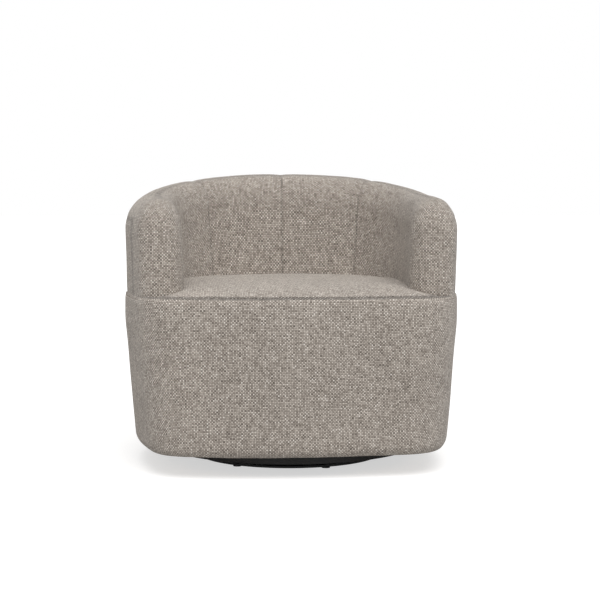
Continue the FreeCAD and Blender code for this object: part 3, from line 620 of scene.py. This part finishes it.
def soften(bm, seams, swell=0.0, dip=0.0, reach=0.010, uneven=0.0, seed=0.0, dark=1.0):
    """Moves points along their normals; seams are functions that give a distance to a seam."""
    layer = seam_shade_layer(bm)
    bm.normal_update()
    moves = []
    for vert in bm.verts:
        distance = min((seam(vert) for seam in seams), default=1.0)
        valley = math.exp(-distance / reach)
        lump = noise.noise(vert.co * COARSE_LUMPS + Vector((seed, 0, 0)))
        lump += 0.5 * noise.noise(vert.co * FINE_LUMPS)
        moves.append(swell * (1 - valley) - dip * valley + uneven * lump)
        # painted shade along the seam line, as strong as dark
        vert[layer] = max(vert[layer], dark * math.exp(-((distance / SEAM_SHADE_WIDTH) ** 2)))
    for vert, move in zip(bm.verts, moves):
        vert.co += vert.normal * move


def mark_seam_shade(bm, strength_of):
    """Marks points for painted shade along a seam, where the form itself already dips."""
    layer = seam_shade_layer(bm)
    for vert in bm.verts:
        vert[layer] = max(vert[layer], strength_of(vert))


def cut_planes(bm, point, normal, offsets):
    """Cuts a form along parallel planes, so that it has points where a seam needs them."""
    for offset in offsets:
        spot = Vector(point) + Vector(normal) * offset
        everything = bm.verts[:] + bm.edges[:] + bm.faces[:]
        bmesh.ops.bisect_plane(
            bm, geom=everything, dist=CUT_SLACK, plane_co=spot, plane_no=normal
        )


def lay_cloth(chain, flat=False):
    """Writes the cloth UV map, in metres: along the outline and up the panel, or from above."""
    uv = chain.bm.loops.layers.uv.new("cloth")
    for face in chain.bm.faces:
        side = -1 if face.calc_center_median().x < 0 else 1
        for loop in face.loops:
            if flat:
                loop[uv].uv = (loop.vert.co.x, loop.vert.co.y)
            else:
                loop[uv].uv = (side * loop.vert[chain.run], loop.vert[chain.rise])


def finish_piece(bm, name, nodes_replaced):
    """Makes an object of a closed form with the cloth, on the seat body, and hides the pieces it
    replaces.
    """
    bmesh.ops.recalc_face_normals(bm, faces=bm.faces[:])
    for face in bm.faces:
        face.smooth = True
    mesh = bpy.data.meshes.new(name)
    bm.to_mesh(mesh)
    mesh.materials.append(cloth)
    piece = added(name, mesh)
    smooth = piece.modifiers.new("smooth", "SUBSURF")
    smooth.levels = 1
    smooth.render_levels = 1
    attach(piece, "seat")
    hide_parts(*nodes_replaced)
    print(name, len(mesh.polygons), "faces")


def parted(source, cuts):
    """A copy of a form cut by planes, each (point, normal), keeping what lies against the normal."""
    bm = source.copy()
    crease = bm.edges.layers.float.new("crease_edge")
    for point, normal in cuts:
        everything = bm.verts[:] + bm.edges[:] + bm.faces[:]
        bmesh.ops.bisect_plane(
            bm, geom=everything, dist=CUT_SLACK, plane_co=point, plane_no=normal, clear_outer=True
        )
        rim = [e for e in bm.edges if len(e.link_faces) == 1]
        for edge in rim:
            edge[crease] = 1.0
        bmesh.ops.holes_fill(bm, edges=rim, sides=0)
    return bm


print("softening ready")

# %% [markdown]
# ## The drum
# The lower drum is padded board wrapped in three panels: one wide panel in front that runs round
# to a seam on each side, and two behind with a seam down the middle. The cloth turns in under the
# bottom over a soft curl, draws in slightly towards the floor, and ends at the top in a rounded
# shoulder that is sewn to the seat. One ring is extruded through all those levels and closed on
# itself, and then parted at the seams.

# %% Drum levels
BOTTOM, SEAM_HEIGHT = 0.050, 0.415
TAPER, TAPER_TOP = 0.024, 0.350
CURL, SHOULDER = 0.021, 0.012
SHOULDER_RISE, SHOULDER_REACH = SHOULDER + 0.004, SHOULDER + 0.003
STEPS_TO_SHOULDER = 18
PANEL = 0.025
SIDE_SEAM = 0.060


def taper(height):
    return TAPER * max(0.0, TAPER_TOP - height) / (TAPER_TOP - BOTTOM)


def drum_levels():
    """(height, inset) from the hem under the drum to the shoulder seam, then down inside."""
    levels = [(BOTTOM + 0.001, TAPER + CURL + 0.018), (BOTTOM, TAPER + CURL + 0.008)]
    for turn in range(0, 91, 10):
        angle = math.radians(turn)
        height = BOTTOM + CURL * (1 - math.cos(angle))
        levels.append((height, taper(height) + CURL * (1 - math.sin(angle))))
    height = levels[-1][0]
    top = SEAM_HEIGHT - SHOULDER_RISE
    for step in range(1, STEPS_TO_SHOULDER + 1):
        level = height + (top - height) * step / STEPS_TO_SHOULDER
        levels.append((level, taper(level)))
    for turn in range(15, 91, 15):
        angle = math.radians(turn)
        height = top + SHOULDER_RISE * math.sin(angle)
        levels.append((height, SHOULDER_REACH * (1 - math.cos(angle))))
    return levels


levels = drum_levels()
inner_levels = [
    (SEAM_HEIGHT - 0.006, SHOULDER + 0.008),
    (SEAM_HEIGHT - 0.014, PANEL),
    (TAPER_TOP, PANEL),
    (BOTTOM + 0.02, PANEL + TAPER),
]
print(len(levels), "levels")

# %% Drum form
CORNER_PITCH, SIDE_PITCH = 0.010, 0.014


def drum_outline():
    """The drum's closed outline, with shorter steps round the front corners."""
    chain = Chain()
    for number, arc in enumerate(drum_arcs(DRUM)):
        chain.arc(*arc, CORNER_PITCH if number == 1 else SIDE_PITCH, number)
    return chain, chain.close()


drum, ring = drum_outline()
first_ring = ring


def drum_place(height, inset):
    def place(vert):
        spot = drum.home(vert) - drum.away(vert) * inset
        return Vector((spot.x, spot.y, height))
    return place


lift_ring(drum, ring, drum_place(*levels[0]))
rise = 0.0
walk = levels + inner_levels
for index in range(1, len(walk)):
    rise += math.hypot(walk[index][0] - walk[index - 1][0], walk[index][1] - walk[index - 1][1])
    ring = raise_row(drum, ring, drum_place(*walk[index]), rise)
bmesh.ops.bridge_loops(drum.bm, edges=first_ring + ring)
bmesh.ops.recalc_face_normals(drum.bm, faces=drum.bm.faces[:])
print("drum", len(drum.bm.faces), "faces")


# %% Drum seams and panels
# height of the band of painted shade under the seat seam
SHADE_BAND_BELOW = 0.0024


def side_seam(vert):
    return abs(vert.co.y - SIDE_SEAM) if abs(vert.co.x) > 0.2 else 1.0


def rear_seam(vert):
    return abs(vert.co.x) if vert.co.y > 0.2 else 1.0


cut_planes(drum.bm, (0, SIDE_SEAM, 0), (0, 1, 0), (-0.008, -0.003, 0.003, 0.008))
# dark sets the painted shade along the side and rear seams
soften(drum.bm, [side_seam, rear_seam], swell=0.0010, dip=0.0020, uneven=0.0014, seed=2.0, dark=0.7)
# painted shade in the crease just below the seat seam
mark_seam_shade(drum.bm, lambda vert: 1.0 if vert.co.z > SEAM_HEIGHT - SHADE_BAND_BELOW else 0.0)
lay_cloth(drum)

front = parted(drum.bm, [((0, SIDE_SEAM, 0), (0, 1, 0))])
finish_piece(front, "front_panel", ["front_cover", "front_padding"])
for side, name in ((-1, "rear_left"), (1, "rear_right")):
    rear = parted(drum.bm, [((0, SIDE_SEAM, 0), (0, -1, 0)), ((0, 0, 0), (-side, 0, 0))])
    finish_piece(rear, f"{name}_panel", [f"{name}_cover", f"{name}_padding"])

# %% [markdown]
# ## Stitches
# A row of short stitches runs round the drum just below the seat seam. Each is a small bead of
# thread, laid on the cloth where a ray from outside meets the panel.

# %% Row of stitches below the seat seam
STITCH_PITCH = 0.0075
STITCH_HALF = Vector((0.0021, 0.0006, 0.0006))
STITCH_HEIGHT = SEAM_HEIGHT - 0.0075
STITCH_LIFT = 0.0003
RAY_START = 0.03
cloth_tree = BVHTree.FromBMesh(drum.bm)


def outline_spots(arcs, pitch):
    """Points and outward directions at even steps along a chain of arcs, and their mirror images."""
    for centre, radius, start, end in arcs:
        count = max(1, round(abs(end - start) * radius / pitch))
        for index in range(count):
            turn = start + (end - start) * (index + 0.5) / count
            away = Vector((math.cos(turn), math.sin(turn)))
            spot = centre + away * radius
            for side in (-1, 1):
                yield Vector((side * spot.x, spot.y)), Vector((side * away.x, away.y))


stitches = bmesh.new()
for spot, away in outline_spots(drum_arcs(DRUM), STITCH_PITCH):
    outside = Vector((*(spot + away * RAY_START), STITCH_HEIGHT))
    hit, normal, _, _ = cloth_tree.ray_cast(outside, Vector((*-away, 0)))
    if hit is None:
        continue
    tangent = Vector((-away.y, away.x, 0))
    upright = normal.cross(tangent).normalized()
    matrix = Matrix((tangent, upright, tangent.cross(upright))).transposed().to_4x4()
    matrix.translation = hit + normal * STITCH_LIFT
    shape = matrix @ Matrix.Diagonal((*STITCH_HALF, 1))
    bmesh.ops.create_icosphere(stitches, subdivisions=2, radius=1.0, matrix=shape)
for face in stitches.faces:
    face.smooth = True
stitch_mesh = bpy.data.meshes.new("seat_stitches")
stitches.to_mesh(stitch_mesh)
stitch_row = added("seat_stitches", stitch_mesh)
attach(stitch_row, "seat")
print("stitches", len(stitch_mesh.polygons), "faces")

# %% [markdown]
# ## The wall of arms and back
# The wall is one bent pad. Its outline is a closed chain: along the inside from the middle of the
# back to an arm, round the arm's front, and back along the outside. Extruded upwards and rolled
# over at the top, it gives the rounded arms in one go. The inside leans back a little as it rises.

# %% Barrel chain
INNER_KIND, HEEL, FLAT, TOE, OUTER_KIND = range(5)
INNER_PITCH, TURN_PITCH, OUTER_PITCH = 0.012, 0.0048, 0.016
FLAT_STEPS = 4
barrel = Chain()
inner_run, (heel, toe), outer_run = barrel_arcs()
for arc in inner_run:
    barrel.arc(*arc, INNER_PITCH, INNER_KIND, side=-1)
heel_start = barrel.length
barrel.arc(*heel, TURN_PITCH, HEEL)
heel_end = barrel.length
start_of_toe = toe[0] + Vector((0, -toe[1]))
barrel.straight(start_of_toe, FLAT_STEPS, FLAT)
toe_start = barrel.length
barrel.arc(*toe, TURN_PITCH, TOE)
toe_end = barrel.length
for arc in outer_run:
    barrel.arc(*arc, OUTER_PITCH, OUTER_KIND)
print("barrel half outline", round(barrel.length, 3), "m")
barrel_ring = barrel.close()

# %% Roll of the arms: a wide soft turn outside, a tighter one in front and inside
ROLL_FRONT, ROLL_OUT, ROLL_IN, ROLL_HIGH = 0.044, 0.066, 0.032, 0.078
CHANGE_INSIDE, CHANGE_OUTSIDE = 0.060, 0.080
DECK = 0.370
LEAN, LEAN_FROM, LEAN_OVER = 0.022, -0.057, 0.30
FLARE = 0.006
BACK_HEIGHT = 0.697
BACK_SLOPE, ARM_SLOPE, SLOPE_TURN = 0.20, 0.02, 0.03
SLOPE_MEETS = 0.055


def top_line(y):
    """Height of the wall's crest: nearly level over the arms, then climbing round the back."""
    def bend(place):
        return SLOPE_TURN * math.log1p(math.exp((place - SLOPE_MEETS) / SLOPE_TURN))
    ridge = DEEP - WALL_STEP - ROLL_OUT
    return BACK_HEIGHT + ARM_SLOPE * (y - ridge) + (BACK_SLOPE - ARM_SLOPE) * (bend(y) - bend(ridge))


def roll_of(run):
    """How far the top rolls in from the wall's face: tight inside, wider in front, widest outside."""
    if run < heel_start:
        share = smooth_step(1 - (heel_start - run) / CHANGE_INSIDE)
        return ROLL_IN + (ROLL_FRONT - ROLL_IN) * share
    share = smooth_step((run - toe_end) / CHANGE_OUTSIDE)
    return ROLL_FRONT + (ROLL_OUT - ROLL_FRONT) * share


def lean_of(home, run):
    """How far the wall has leaned in at the top: away from the sitter inside, outwards outside."""
    back_share = smooth_step((home.y - LEAN_FROM) / LEAN_OVER)
    lean = LEAN / 3 + (LEAN - LEAN / 3) * back_share
    lean *= 1 - smooth_step((run - heel_start) / (heel_end - heel_start))
    return lean - FLARE * smooth_step((run - toe_start) / (toe_end - toe_start))


def barrel_place(climb, turn=0.0):
    """climb runs from 0 at the foot to 1 where the roll starts, turn from 0 to 90 over the roll."""
    angle = math.radians(turn)

    def place(vert):
        run = vert[barrel.run]
        home, away = barrel.home(vert), barrel.away(vert)
        drawn = roll_of(run) * (1 - math.cos(angle)) + climb * lean_of(home, run)
        spot = home - away * drawn
        low = top_line(spot.y) - ROLL_HIGH
        level = DECK + (low - DECK) * climb + ROLL_HIGH * math.sin(angle)
        return Vector((spot.x, spot.y, level))
    return place


# %% Extrude the wall up and over
ROLL_TURNS = (7, 14, 20, 26, 34, 42, 50, 58, 66, 74, 82, 90)
SEAM_TURN = 20
STEPS_UP = 14
STRAIGHT = top_line(0.0) - ROLL_HIGH - DECK
lift_ring(barrel, barrel_ring, barrel_place(0.0))
foot_ring = barrel_ring
ring = barrel_ring
for step in range(1, STEPS_UP + 1):
    climb = step / STEPS_UP
    ring = raise_row(barrel, ring, barrel_place(climb), STRAIGHT * climb)
for turn in ROLL_TURNS:
    ring = raise_row(barrel, ring, barrel_place(1.0, turn), STRAIGHT + ROLL_HIGH * math.radians(turn))
seam_row_rise = STRAIGHT + ROLL_HIGH * math.radians(SEAM_TURN)
print("roll seam at", round(seam_row_rise, 4))


# %% Close the top and the foot
def ladder(chain, ring):
    """Bridges the inner and outer runs of a ring and fills what is left at the arm fronts."""
    inside = [e for e in ring if all(v[chain.kind] == INNER_KIND for v in e.verts)]
    outside = [e for e in ring if all(v[chain.kind] == OUTER_KIND for v in e.verts)]
    made = bmesh.ops.bridge_loops(chain.bm, edges=inside + outside)["faces"]
    rim = [e for e in chain.bm.edges if len(e.link_faces) == 1 and e in set(ring)]
    rungs = [e for f in made for e in f.edges if len(e.link_faces) == 1]
    bmesh.ops.holes_fill(chain.bm, edges=list(set(rim + rungs)), sides=0)
    return made


for closing in (ring, foot_ring):
    ladder(barrel, closing)
bmesh.ops.recalc_face_normals(barrel.bm, faces=barrel.bm.faces[:])
open_edges = [e for e in barrel.bm.edges if len(e.link_faces) != 2]
print("barrel", len(barrel.bm.faces), "faces", len(open_edges), "open edges")

# %% [markdown]
# ## Seams of the wall
# Four panels meet inside: one seam runs down the middle of the back, and one climbs each rear
# corner at an angle, where the arm's panel meets the back's. They pull the top edge into small
# notches. Another seam follows the outer edge of the roll and runs down each arm's outer side, a
# little behind its front.

# %% Barrel seams
SEAM_ANGLE = math.radians(42)
SEAM_START = INNER["back"] - 0.038 - 0.7 * INNER_HALF * math.tan(SEAM_ANGLE)
EDGE_SEAM_BEHIND = 0.065
EDGE_SEAM_REACH = 0.03
NOTCH_RISE = 0.04
OFFSETS = (-0.010, -0.0035, 0.0, 0.0035, 0.010)
seam_normal = Vector((-math.sin(SEAM_ANGLE), math.cos(SEAM_ANGLE), 0))


def arm_seam(vert):
    return abs((Vector((abs(vert.co.x), vert.co.y, 0)) - Vector((0, SEAM_START, 0))).dot(seam_normal))


def middle_seam(vert):
    return abs(vert.co.x) if vert.co.y > 0.1 else 1.0


outer_runs = {round(v[barrel.run], 5) for v in barrel.bm.verts if v[barrel.kind] == OUTER_KIND}
toe_split = min(outer_runs, key=lambda run: abs(run - toe_end - EDGE_SEAM_BEHIND))


def edge_seam(vert):
    """Distance to the seam round the outer edge of the roll and down the arm's outer side."""
    run, rise = vert[barrel.run], vert[barrel.rise]
    if run < toe_split - EDGE_SEAM_REACH:
        return 1.0
    down = abs(rise - seam_row_rise)
    if rise > seam_row_rise:
        return math.hypot(down, max(0.0, toe_split - run))
    return min(abs(run - toe_split), down) if run >= toe_split else abs(run - toe_split)


def crest_notch(vert):
    """The rear corner seams pull a small notch where they cross the crest."""
    return arm_seam(vert) if vert[barrel.rise] > seam_row_rise + NOTCH_RISE else 1.0


for side in (-1, 1):
    normal = Vector((side * seam_normal.x, seam_normal.y, 0))
    cut_planes(barrel.bm, (0, SEAM_START, 0), normal, OFFSETS)
cut_planes(barrel.bm, (0, 0, 0), (1, 0, 0), (-0.0035, 0.0035))
# dark sets the painted shade along each seam in the three calls below
soften(
    barrel.bm, [arm_seam, middle_seam],
    swell=0.0008, dip=0.0016, reach=0.011, uneven=0.0016, seed=5.0, dark=0.45,
)
soften(barrel.bm, [crest_notch], dip=0.0030, reach=0.009, dark=0.45)
soften(barrel.bm, [edge_seam], dip=0.0010, reach=0.006, dark=0.8)
lay_cloth(barrel)
print("edge seam at", round(toe_split, 4))

# %% Barrel panels
for side, name in ((-1, "left"), (1, "right")):
    normal = Vector((side * seam_normal.x, seam_normal.y, 0))
    arm = parted(barrel.bm, [((0, SEAM_START, 0), normal), ((0, 0, 0), (-side, 0, 0))])
    finish_piece(arm, f"{name}_arm_panel", [f"{name}_arm_cover", f"{name}_arm_foam"])
    back = parted(barrel.bm, [((0, SEAM_START, 0), -normal), ((0, 0, 0), (-side, 0, 0))])
    finish_piece(back, f"back_{name}_panel", [f"back_{name}_cover", "back_foam"])

# %% [markdown]
# ## The seat
# The seat is a crowned pad the full width of the drum. It rises from the sewn front edge and dips
# where it is tucked in against the wall. The outline is the drum's own, drawn in ring by ring.

# %% Seat form
CROWN, FULLNESS = 0.026, 6
EDGE, EDGE_RISE = SHOULDER + 0.004, 0.002
FOOT_ROWS = (
    (-0.035, PANEL + 0.002),
    (-0.016, PANEL + 0.001),
    (-0.004, EDGE + 0.001),
    (-0.0005, EDGE + 0.001),
    (0.0025, EDGE + 0.004),
)
SHARES = (
    0.975, 0.955, 0.93, 0.90, 0.86, 0.82, 0.78, 0.73, 0.68,
    0.62, 0.56, 0.50, 0.43, 0.36, 0.28, 0.2, 0.12, 0.06,
)
seat, ring = drum_outline()


def seat_place(share, height, inset=0.0):
    def place(vert):
        spot = (seat.home(vert) - seat.away(vert) * inset) * share
        return Vector((spot.x, spot.y, height))
    return place


first_ring = ring
for index, (height, inset) in enumerate(FOOT_ROWS):
    place = seat_place(1, SEAM_HEIGHT + height, inset)
    if index == 0:
        lift_ring(seat, ring, place)
    else:
        ring = raise_row(seat, ring, place, 0)
for share in SHARES:
    height = SEAM_HEIGHT + EDGE_RISE + (CROWN - EDGE_RISE) * (1 - share**FULLNESS)
    ring = raise_row(seat, ring, seat_place(share, height, EDGE), 0)
bmesh.ops.holes_fill(seat.bm, edges=ring, sides=0)
bmesh.ops.holes_fill(seat.bm, edges=first_ring, sides=0)
bmesh.ops.recalc_face_normals(seat.bm, faces=seat.bm.faces[:])
print("seat", len(seat.bm.faces), "faces")

# %% Tuck the seat in against the wall
TUCK, TUCK_REACH = 0.007, 0.016
# height of the band of painted shade above the seat seam
SHADE_BAND_ABOVE = 0.003
wall_line = kdtree.KDTree(len(barrel.bm.verts))
for index, vert in enumerate(barrel.bm.verts):
    if vert[barrel.kind] in (INNER_KIND, HEEL, FLAT, TOE):
        wall_line.insert((vert[barrel.home_x], vert[barrel.home_y], 0), index)
wall_line.balance()


for vert in seat.bm.verts:
    if vert.co.z > SEAM_HEIGHT + 0.001:
        distance = wall_line.find((vert.co.x, vert.co.y, 0))[2]
        vert.co.z -= TUCK * math.exp(-distance / TUCK_REACH)
soften(seat.bm, [], uneven=0.0016, seed=9.0)
# painted shade in the crease just above the seat seam
mark_seam_shade(seat.bm, lambda vert: 1.0 if vert.co.z < SEAM_HEIGHT + SHADE_BAND_ABOVE else 0.0)
lay_cloth(seat, flat=True)
finish_piece(seat.bm, "seat_pad", ["seat_cover", "seat_foam"])

# %% [markdown]
# ## Hard pieces
# The frame's own pieces keep their shapes. Each gets the finish of its material: satin black on
# the ring, grey zinc on the ball plate and its bolts, birch plywood, nylon, and bare spring wire.

# %% Materials of the hard pieces
ROUGH_RANGE = 0.15
SPECKLED = {
    "sewing_thread": ((0.20, 0.17, 0.145), (0.30, 0.26, 0.22), 0.8, {"fine": 2400.0, "bump": 0.0001}),
    "black_board": ((0.008, 0.008, 0.008), (0.014, 0.014, 0.015), 0.7, {"fine": 500.0}),
    "black_steel": (
        (0.013, 0.013, 0.014), (0.020, 0.020, 0.021), 0.38, {"fine": 1400.0, "bump": 0.00008},
    ),
    "zinc_steel": (
        (0.50, 0.51, 0.53), (0.60, 0.60, 0.60), 0.36, {"metallic": 1.0, "coarse": 45.0, "bump": 0.00005},
    ),
    "spring_steel": (
        (0.24, 0.25, 0.27), (0.34, 0.34, 0.35), 0.32, {"metallic": 1.0, "coarse": 60.0, "bump": 0.00005},
    ),
    "white_nylon": ((0.70, 0.69, 0.65), (0.78, 0.77, 0.73), 0.42, {"bump": 0.00005}),
    "black_nylon": ((0.016, 0.016, 0.017), (0.026, 0.026, 0.027), 0.5, {"bump": 0.0001}),
    "cut_foam": ((0.72, 0.66, 0.48), (0.82, 0.77, 0.60), 0.95, {"fine": 420.0, "bump": 0.0008}),
}


def speckled(name, dark, light, roughness, metallic=0.0, fine=900.0, coarse=18.0, bump=0.0002):
    """A material with a fine grain in its roughness and bump, and a coarse cloud in its colour."""
    material, nodes, links, shader = shaded(name, roughness, metallic)
    place = nodes.new("ShaderNodeTexCoord")
    speckle = place_group(nodes, speckle_group, Fine=fine, Coarse=coarse)
    links.new(place.outputs["Object"], speckle.inputs["Place"])
    ramp = tone_ramp(nodes, ((0.3, dark), (0.7, light)))
    links.new(speckle.outputs["Cloud"], ramp.inputs["Fac"])
    links.new(ramp.outputs[0], shader.inputs["Base Color"])
    low = roughness - ROUGH_RANGE / 2
    rough = calculate(material.node_tree, "MULTIPLY_ADD", speckle.outputs["Grain"], ROUGH_RANGE, low)
    links.new(rough, shader.inputs["Roughness"])
    bumped(nodes, links, shader, speckle.outputs["Grain"], bump)
    return material


finishes = {"greige_weave": cloth}
for name, (dark, light, roughness, options) in SPECKLED.items():
    finishes[name] = speckled(name, dark, light, roughness, **options)
stitch_mesh.materials.append(finishes["sewing_thread"])
print(len(finishes), "finishes")

# %% Birch plywood: plies seen on the edges, long grain on the faces
PLY = 0.003
plywood, nodes, links, shader = shaded("plywood", 0.6)
place = nodes.new("ShaderNodeTexCoord")
speckle = place_group(nodes, speckle_group, Fine=700.0, Coarse=9.0)
stretch = nodes.new("ShaderNodeMapping")
stretch.inputs["Scale"].default_value = (1.0, 0.06, 1.0)
links.new(place.outputs["Object"], stretch.inputs["Vector"])
links.new(stretch.outputs[0], speckle.inputs["Place"])
parts = nodes.new("ShaderNodeSeparateXYZ")
links.new(place.outputs["Object"], parts.inputs[0])
t = plywood.node_tree
plies = calculate(t, "SINE", calculate(t, "MULTIPLY", parts.outputs[2], 2 * math.pi / PLY))
figure = calculate(t, "MULTIPLY_ADD", plies, 0.10, speckle.outputs["Cloud"])
ramp = tone_ramp(nodes, ((0.25, (0.42, 0.28, 0.15)), (0.75, (0.66, 0.50, 0.32))))
links.new(figure, ramp.inputs["Fac"])
links.new(ramp.outputs[0], shader.inputs["Base Color"])
bumped(nodes, links, shader, speckle.outputs["Grain"], 0.0002)
finishes["plywood"] = plywood

for part in frame["record"]["subparts"]:
    mesh = frame["nodes"][part["node"]].data
    mesh.materials.clear()
    mesh.materials.append(finishes[part["material_slot"]])

# %% [markdown]
# ## Spring wires
# Each coil stands on the swivel plate and carries the rocker, so its foot stays with one body and
# its head goes with the other. Here a copy of each coil's wire is made as it stands in the frame,
# and the frame's coil is hidden.

# %% Copy the coils' wire and hide the frame's coils
for label, along in (("front_springs", -0.085), ("back_springs", 0.085)):
    node = frame["nodes"][label]
    wire = added(f"{label}_wire", node.data.copy())
    wire.matrix_world = node.matrix_world.copy()
    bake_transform(wire)
    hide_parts(label)
    print(wire.name, len(wire.data.polygons), "faces")
